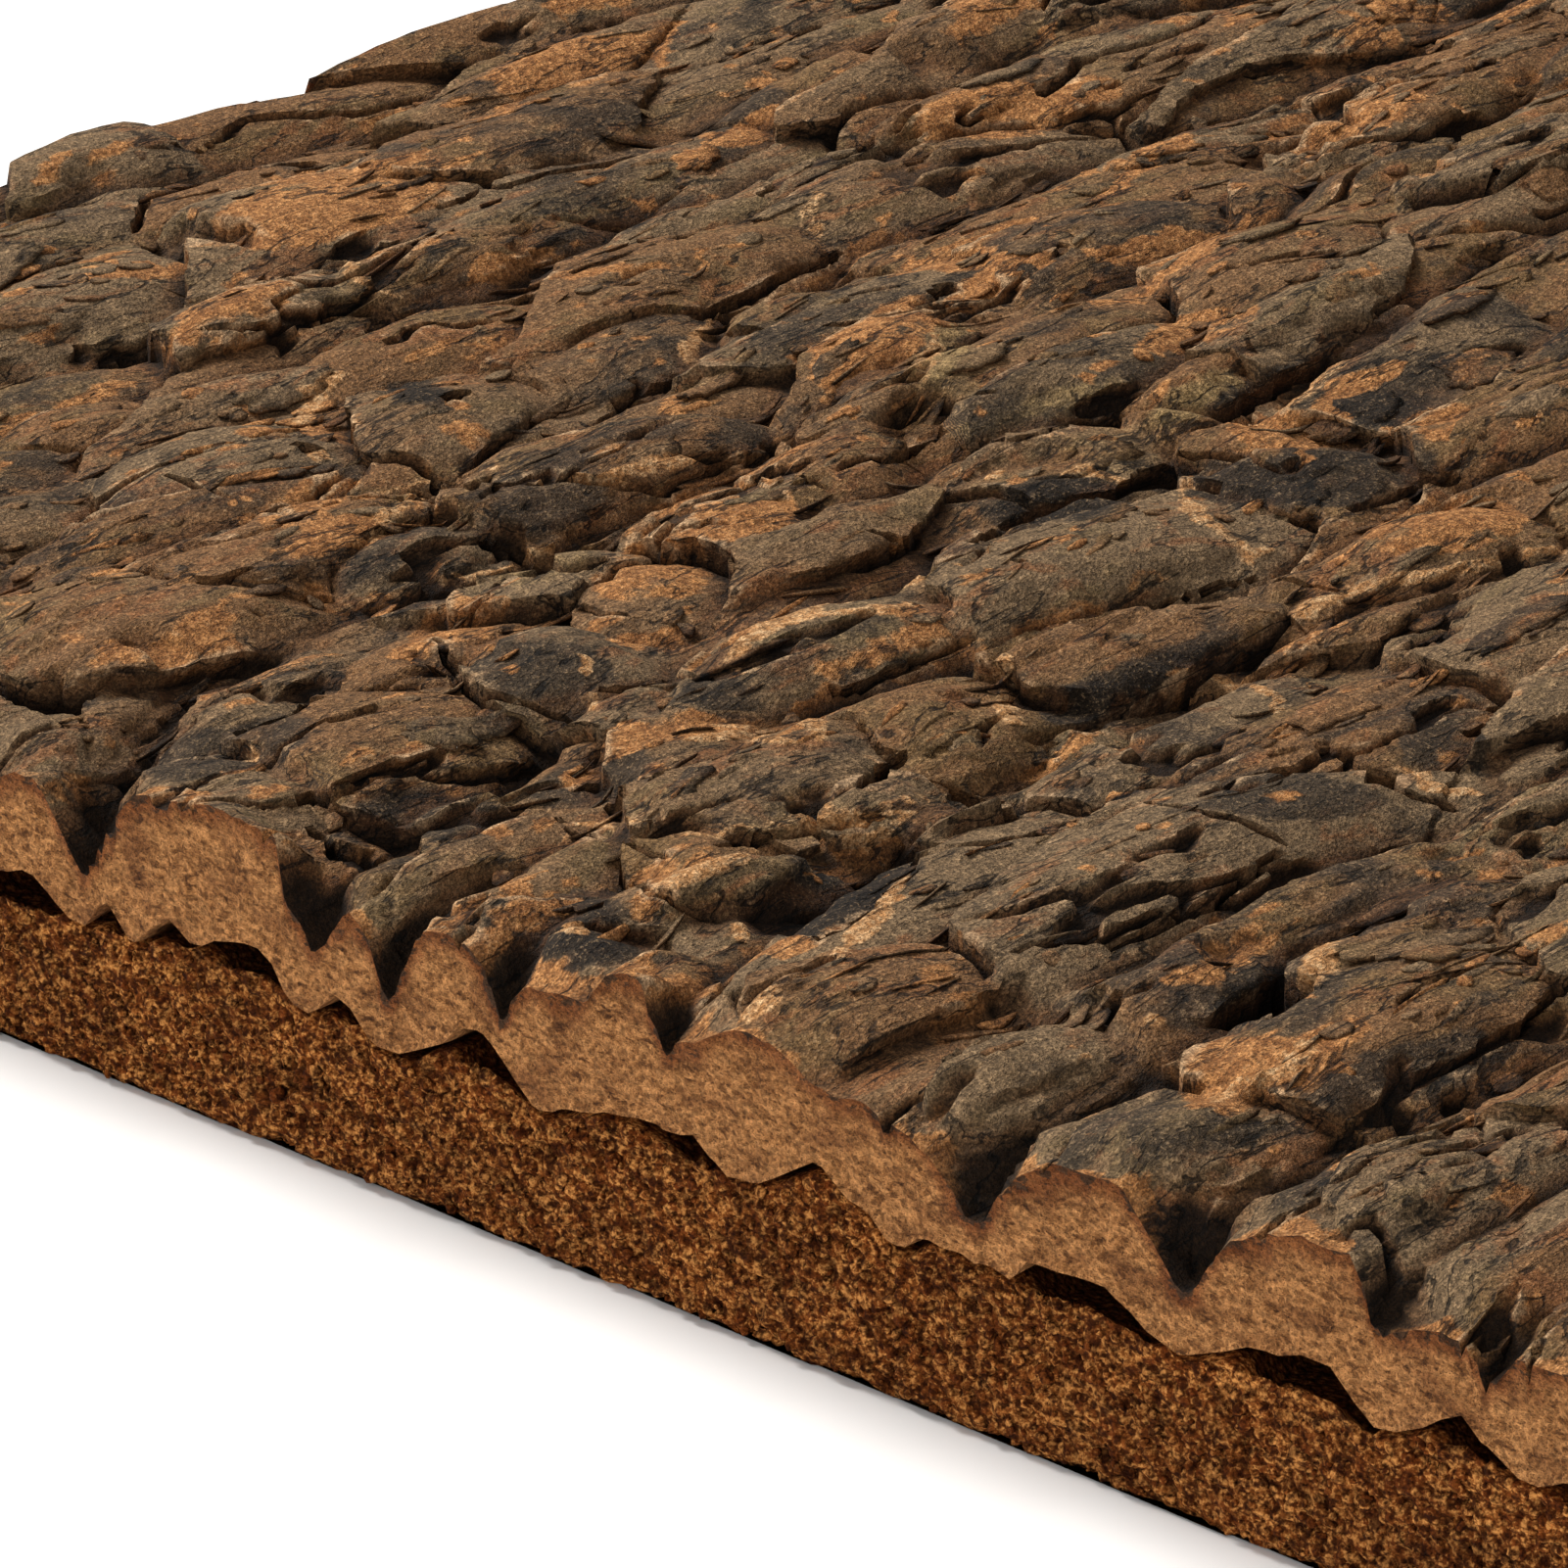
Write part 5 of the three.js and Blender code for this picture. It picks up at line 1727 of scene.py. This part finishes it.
@dataclass
class GranulatedCore:
    """The board of pressed cork granules under the bark."""

    seam: Seam
    steps: int = 660
    rows: int = 33
    sunk: float = 0.25

    def build(self, granules: bpy.types.Material) -> bpy.types.Object:
        """Builds the board.

        Args:
            granules: its material.

        Returns:
            The piece.
        """
        weave = Weave()
        rim = Rim(self.steps)
        run, level = rim.run, 0 * rim.run
        share = np.arange(self.rows + 1)[:, None] / self.rows
        eaten = (Grain.EATEN_EDGE.at(run, level) + 0.3) * rim.seam_fade
        ceiling = self.seam.eaten_top(rim.x, rim.y) - 0.04 - eaten
        z = ceiling * (1 - share)
        sink, tone, pit_shade = self.crumble(run + 0 * z, z)
        worn = smooth(1 - z / WORN_FOOT) * (0.5 + 0.6 * Patches.WORN_FOOT.at(run, level))
        sink = (sink + worn) * rim.corner + self.sunk
        walls = weave.add(rim.shifted(-sink, z))
        weave.surround(walls, ONLY)
        close_cap(weave, walls[0], SEAM_CAP, self.seam.eaten_top, ONLY, up=True)
        close_cap(weave, walls[-1], PLAIN_CAP, lambda a, b: 0 * a, ONLY, up=False)
        mesh = weave.mesh("granulated_core")
        spare = weave.count - z.size
        write_chart(mesh, "tone", np.concatenate([tone.ravel(), np.full(spare, 0.5)]))
        # The caps take full painted shade, which darkens the core's top where it shows in the seam's hollows
        write_chart(mesh, "pit_shade", np.concatenate([pit_shade.ravel(), np.ones(spare)]))
        return place(mesh, "core_board", [granules], "granulated_cork_core")

    @staticmethod
    def crumble(run: Array, z: Array) -> tuple[Array, Array, Array]:
        """Crumbly face of pressed granules.

        Args:
            run: places round the rim in mm.
            z: heights in mm.

        Returns:
            How far each point sinks, a random tone for its granule, and a painted shade that grows with how
            deep in a pit it is.
        """
        wavy = run + Grain.WAVY_RUN.at(run, z)
        high = z + Grain.WAVY_HEIGHT.at(run, z)
        large = Cells(across=1.5, along=1.2, seed=161).look(wavy, high)
        small = Cells(across=0.9, along=0.8, seed=171).look(wavy, high)
        lump = 0.42 * large.near + 0.35 * small.near + 0.25 * large.own + 0.22 * small.own
        lost = Patches.LOST_GRANULES.at(run, z)
        gone = (small.own > 0.88) * smooth((small.after - small.near) / 0.2)
        cleft = 1 - smooth((large.after - large.near) / 0.25)
        sink = 0.8 * lump + 0.4 * gone + 0.4 * lost + 0.2 * cleft
        # Painted shade: the deeper a point sinks, the darker it is painted
        pit_shade = np.clip((sink - 0.55) / 0.7, 0, 1)
        return sink, np.mod(3.7 * large.own + 5.3 * small.own, 1.0), pit_shade


@dataclass
class LooseGranules:
    """Single granules that stand out of the core's four sides, all in one mesh."""

    seam: Seam
    name: str
    seed: int
    count: int
    size: tuple[float, float]

    def build(self, granules: bpy.types.Material) -> bpy.types.Object:
        """Builds all granules.

        Args:
            granules: their material.

        Returns:
            The piece.
        """
        ids = np.arange(self.count)
        luck = [chance(ids, np.array(number), self.seed) for number in range(10)]
        run = luck[0] * 8 * HALF
        x, y, out_x, out_y = self.place_on_rim(run)
        z = 0.5 + (self.seam.eaten_top(x, y) - 1.2) * luck[1]
        sink, _, _ = GranulatedCore.crumble(run, z)
        radius = self.size[0] + (self.size[1] - self.size[0]) * luck[2] ** 2
        sink = sink + 0.25 * (1 + radius) + 0.7 * smooth(1 - z / WORN_FOOT)
        sink = np.maximum(sink, radius + 0.05)
        ball, faces = self.ball()
        uneven = 0.75 + 0.5 * chance(ids[:, None], np.arange(len(ball))[None], self.seed + 1)
        stretch = 0.7 + 0.6 * np.stack(luck[3:6], -1)
        spin = self.turns(np.stack(luck[6:9], -1) * 2 * math.pi)
        lumpy = ball[None] * uneven[..., None] * stretch[:, None]
        points = np.einsum("nij,nkj->nki", spin, lumpy) * radius[:, None, None]
        # How far each point faces into the core, which sets its painted shade
        depth = -(points[..., 0] * out_x[:, None] + points[..., 1] * out_y[:, None]) / radius[:, None]
        home = np.stack([x - out_x * sink, y - out_y * sink, z], -1)
        points = points + home[:, None]
        points[..., 2] = np.maximum(points[..., 2], 0.02)
        weave = Weave()
        numbers = weave.add(points)
        weave.keep(numbers[:, faces].reshape(-1, 3), ONLY)
        mesh = weave.mesh(self.name)
        write_chart(mesh, "tone", np.repeat(luck[9], len(ball)))
        # Painted shade on the side of each granule that faces into the core
        write_chart(mesh, "pit_shade", smooth((depth + 0.1) / 0.9).ravel())
        return place(mesh, self.name, [granules], "granulated_cork_core")

    @staticmethod
    def place_on_rim(run: Array) -> tuple[Array, Array, Array, Array]:
        """Places round the panel, clear of its corners.

        Args:
            run: lengths round the rim in mm.

        Returns:
            x, y and the two parts of the outward direction.
        """
        side = np.minimum((run // (2 * HALF)).astype(int), len(Side) - 1)
        at = np.clip(run - side * 2 * HALF, CORNER_CALM, 2 * HALF - CORNER_CALM) - HALF
        out_x, out_y = Side.outward()[side].T
        return out_x * HALF - out_y * at, out_y * HALF + out_x * at, out_x, out_y

    @staticmethod
    def ball() -> tuple[Array, Array]:
        """Twelve-cornered ball.

        Returns:
            Its points and its faces, which look outward.
        """
        g = (1 + 5**0.5) / 2
        points = [(0, s, t * g) for s in (-1, 1) for t in (-1, 1)]
        points += [(s, t * g, 0) for s in (-1, 1) for t in (-1, 1)]
        points += [(t * g, 0, s) for s in (-1, 1) for t in (-1, 1)]
        corners = np.array(points) / math.hypot(1, g)
        faces = []
        for a, b, c in itertools.combinations(range(12), 3):
            sides = [np.linalg.norm(corners[i] - corners[j]) for i, j in ((a, b), (b, c), (a, c))]
            if max(sides) < 1.1:
                outward = np.dot(np.cross(corners[b] - corners[a], corners[c] - corners[a]), corners[a])
                faces.append((a, b, c) if outward > 0 else (a, c, b))
        return corners, np.array(faces)

    @staticmethod
    def turns(angles: Array) -> Array:
        """Turning matrices.

        Args:
            angles: three angles for each granule.

        Returns:
            One matrix for each granule.
        """
        (ca, cb, cc), (sa, sb, sc) = np.cos(angles).T, np.sin(angles).T
        rows = [[cb * cc, -cb * sc, sb], [ca * sc + sa * sb * cc, ca * cc - sa * sb * sc, -sa * cb],
                [sa * sc - ca * sb * cc, sa * cc + ca * sb * sc, ca * cb]]
        return np.moveaxis(np.array(rows), -1, 0)


@dataclass
class Studio:
    """Pale floor, soft light and the camera at the photograph's angle."""

    azimuth: float = 41.327
    elevation: float = 23.63
    position: tuple[float, float, float] = (439.223, -596.279, 310.73)
    focal_pixels: float = 8500.0
    photo_pixels: float = 1601.0
    sensor: float = 36.0

    def build(self) -> None:
        """Builds the whole studio."""
        self.floor()
        self.light("key", at=(-1500, -100, 1700), size=900, watts=66.0, colour=(1.0, 0.97, 0.93))
        self.light("fill", at=(400, -1500, 700), size=900, watts=8.0, colour=(1.0, 0.98, 0.96))
        self.sky()
        self.camera()
        bpy.context.scene.view_settings.view_transform = "Standard"

    @staticmethod
    def floor() -> None:
        """Lays the floor."""
        bpy.ops.mesh.primitive_plane_add(size=12, location=(0, 0, -0.0002))
        floor = bpy.context.object
        floor.name = "floor"
        floor.data.materials.append(FloorFinish().material())

    @staticmethod
    def light(name: str, at: tuple[float, float, float], size: float, watts: float,
              colour: tuple[float, float, float]) -> None:
        """Hangs one soft light that looks at the panel.

        Args:
            name: its name.
            at: its place in mm.
            size: its side in mm.
            watts: its power.
            colour: its colour.
        """
        data = bpy.data.lights.new(name, "AREA")
        data.shape = "SQUARE"
        data.size = size * MM
        data.energy = watts
        data.color = colour
        lamp = bpy.data.objects.new(name, data)
        lamp.location = Vector(at) * MM
        lamp.rotation_euler = (-lamp.location).to_track_quat("-Z", "Y").to_euler()
        bpy.context.scene.collection.objects.link(lamp)

    @staticmethod
    def sky() -> None:
        """Fills the surroundings with soft white."""
        world = bpy.data.worlds.new("studio")
        world.use_nodes = True
        world.node_tree.nodes["Background"].inputs["Color"].default_value = (1, 1, 1, 1)
        world.node_tree.nodes["Background"].inputs["Strength"].default_value = 0.3
        bpy.context.scene.world = world

    def camera(self) -> None:
        """Sets the camera up."""
        a, e = math.radians(self.azimuth), math.radians(self.elevation)
        back = Vector((math.sin(a) * math.cos(e), -math.cos(a) * math.cos(e), math.sin(e)))
        data = bpy.data.cameras.new("photo_camera")
        data.lens = self.focal_pixels / self.photo_pixels * self.sensor
        data.sensor_width = self.sensor
        data.clip_start, data.clip_end = 0.05, 50
        camera = bpy.data.objects.new("photo_camera", data)
        camera.location = Vector(self.position) * MM
        camera.rotation_euler = (-back).to_track_quat("-Z", "Y").to_euler()
        bpy.context.scene.collection.objects.link(camera)
        bpy.context.scene.camera = camera


def main() -> None:
    """Builds the panel and the studio in order."""
    logging.basicConfig(level=logging.INFO, format="%(name)s %(message)s")
    relief, seam = Relief(), Seam()
    crust = CrustFinish().material()
    BarkSlab(relief, seam).build(crust, CutFinish().material())
    Flakes(relief, "torn_scales", seed=201, count=170, corners=26, length=(7, 17), width=(2.5, 5.5),
           thickness=(0.35, 0.7), lift=0.3).build(crust)
    Flakes(relief, "small_chips", seed=211, count=900, corners=9, length=(1.6, 5.5), width=(0.8, 2.2),
           thickness=(0.25, 0.45), lift=0.2).build(crust)
    Flakes(relief, "slivers", seed=221, count=900, corners=8, length=(4, 11), width=(0.4, 0.9),
           thickness=(0.2, 0.4), lift=0.3).build(crust)
    granules = GranuleFinish().material()
    GranulatedCore(seam).build(granules)
    LooseGranules(seam, "granules_one", seed=231, count=9400, size=(0.34, 0.78)).build(granules)
    LooseGranules(seam, "granules_two", seed=241, count=9400, size=(0.3, 0.62)).build(granules)
    Studio().build()


if __name__ == "__main__":
    main()
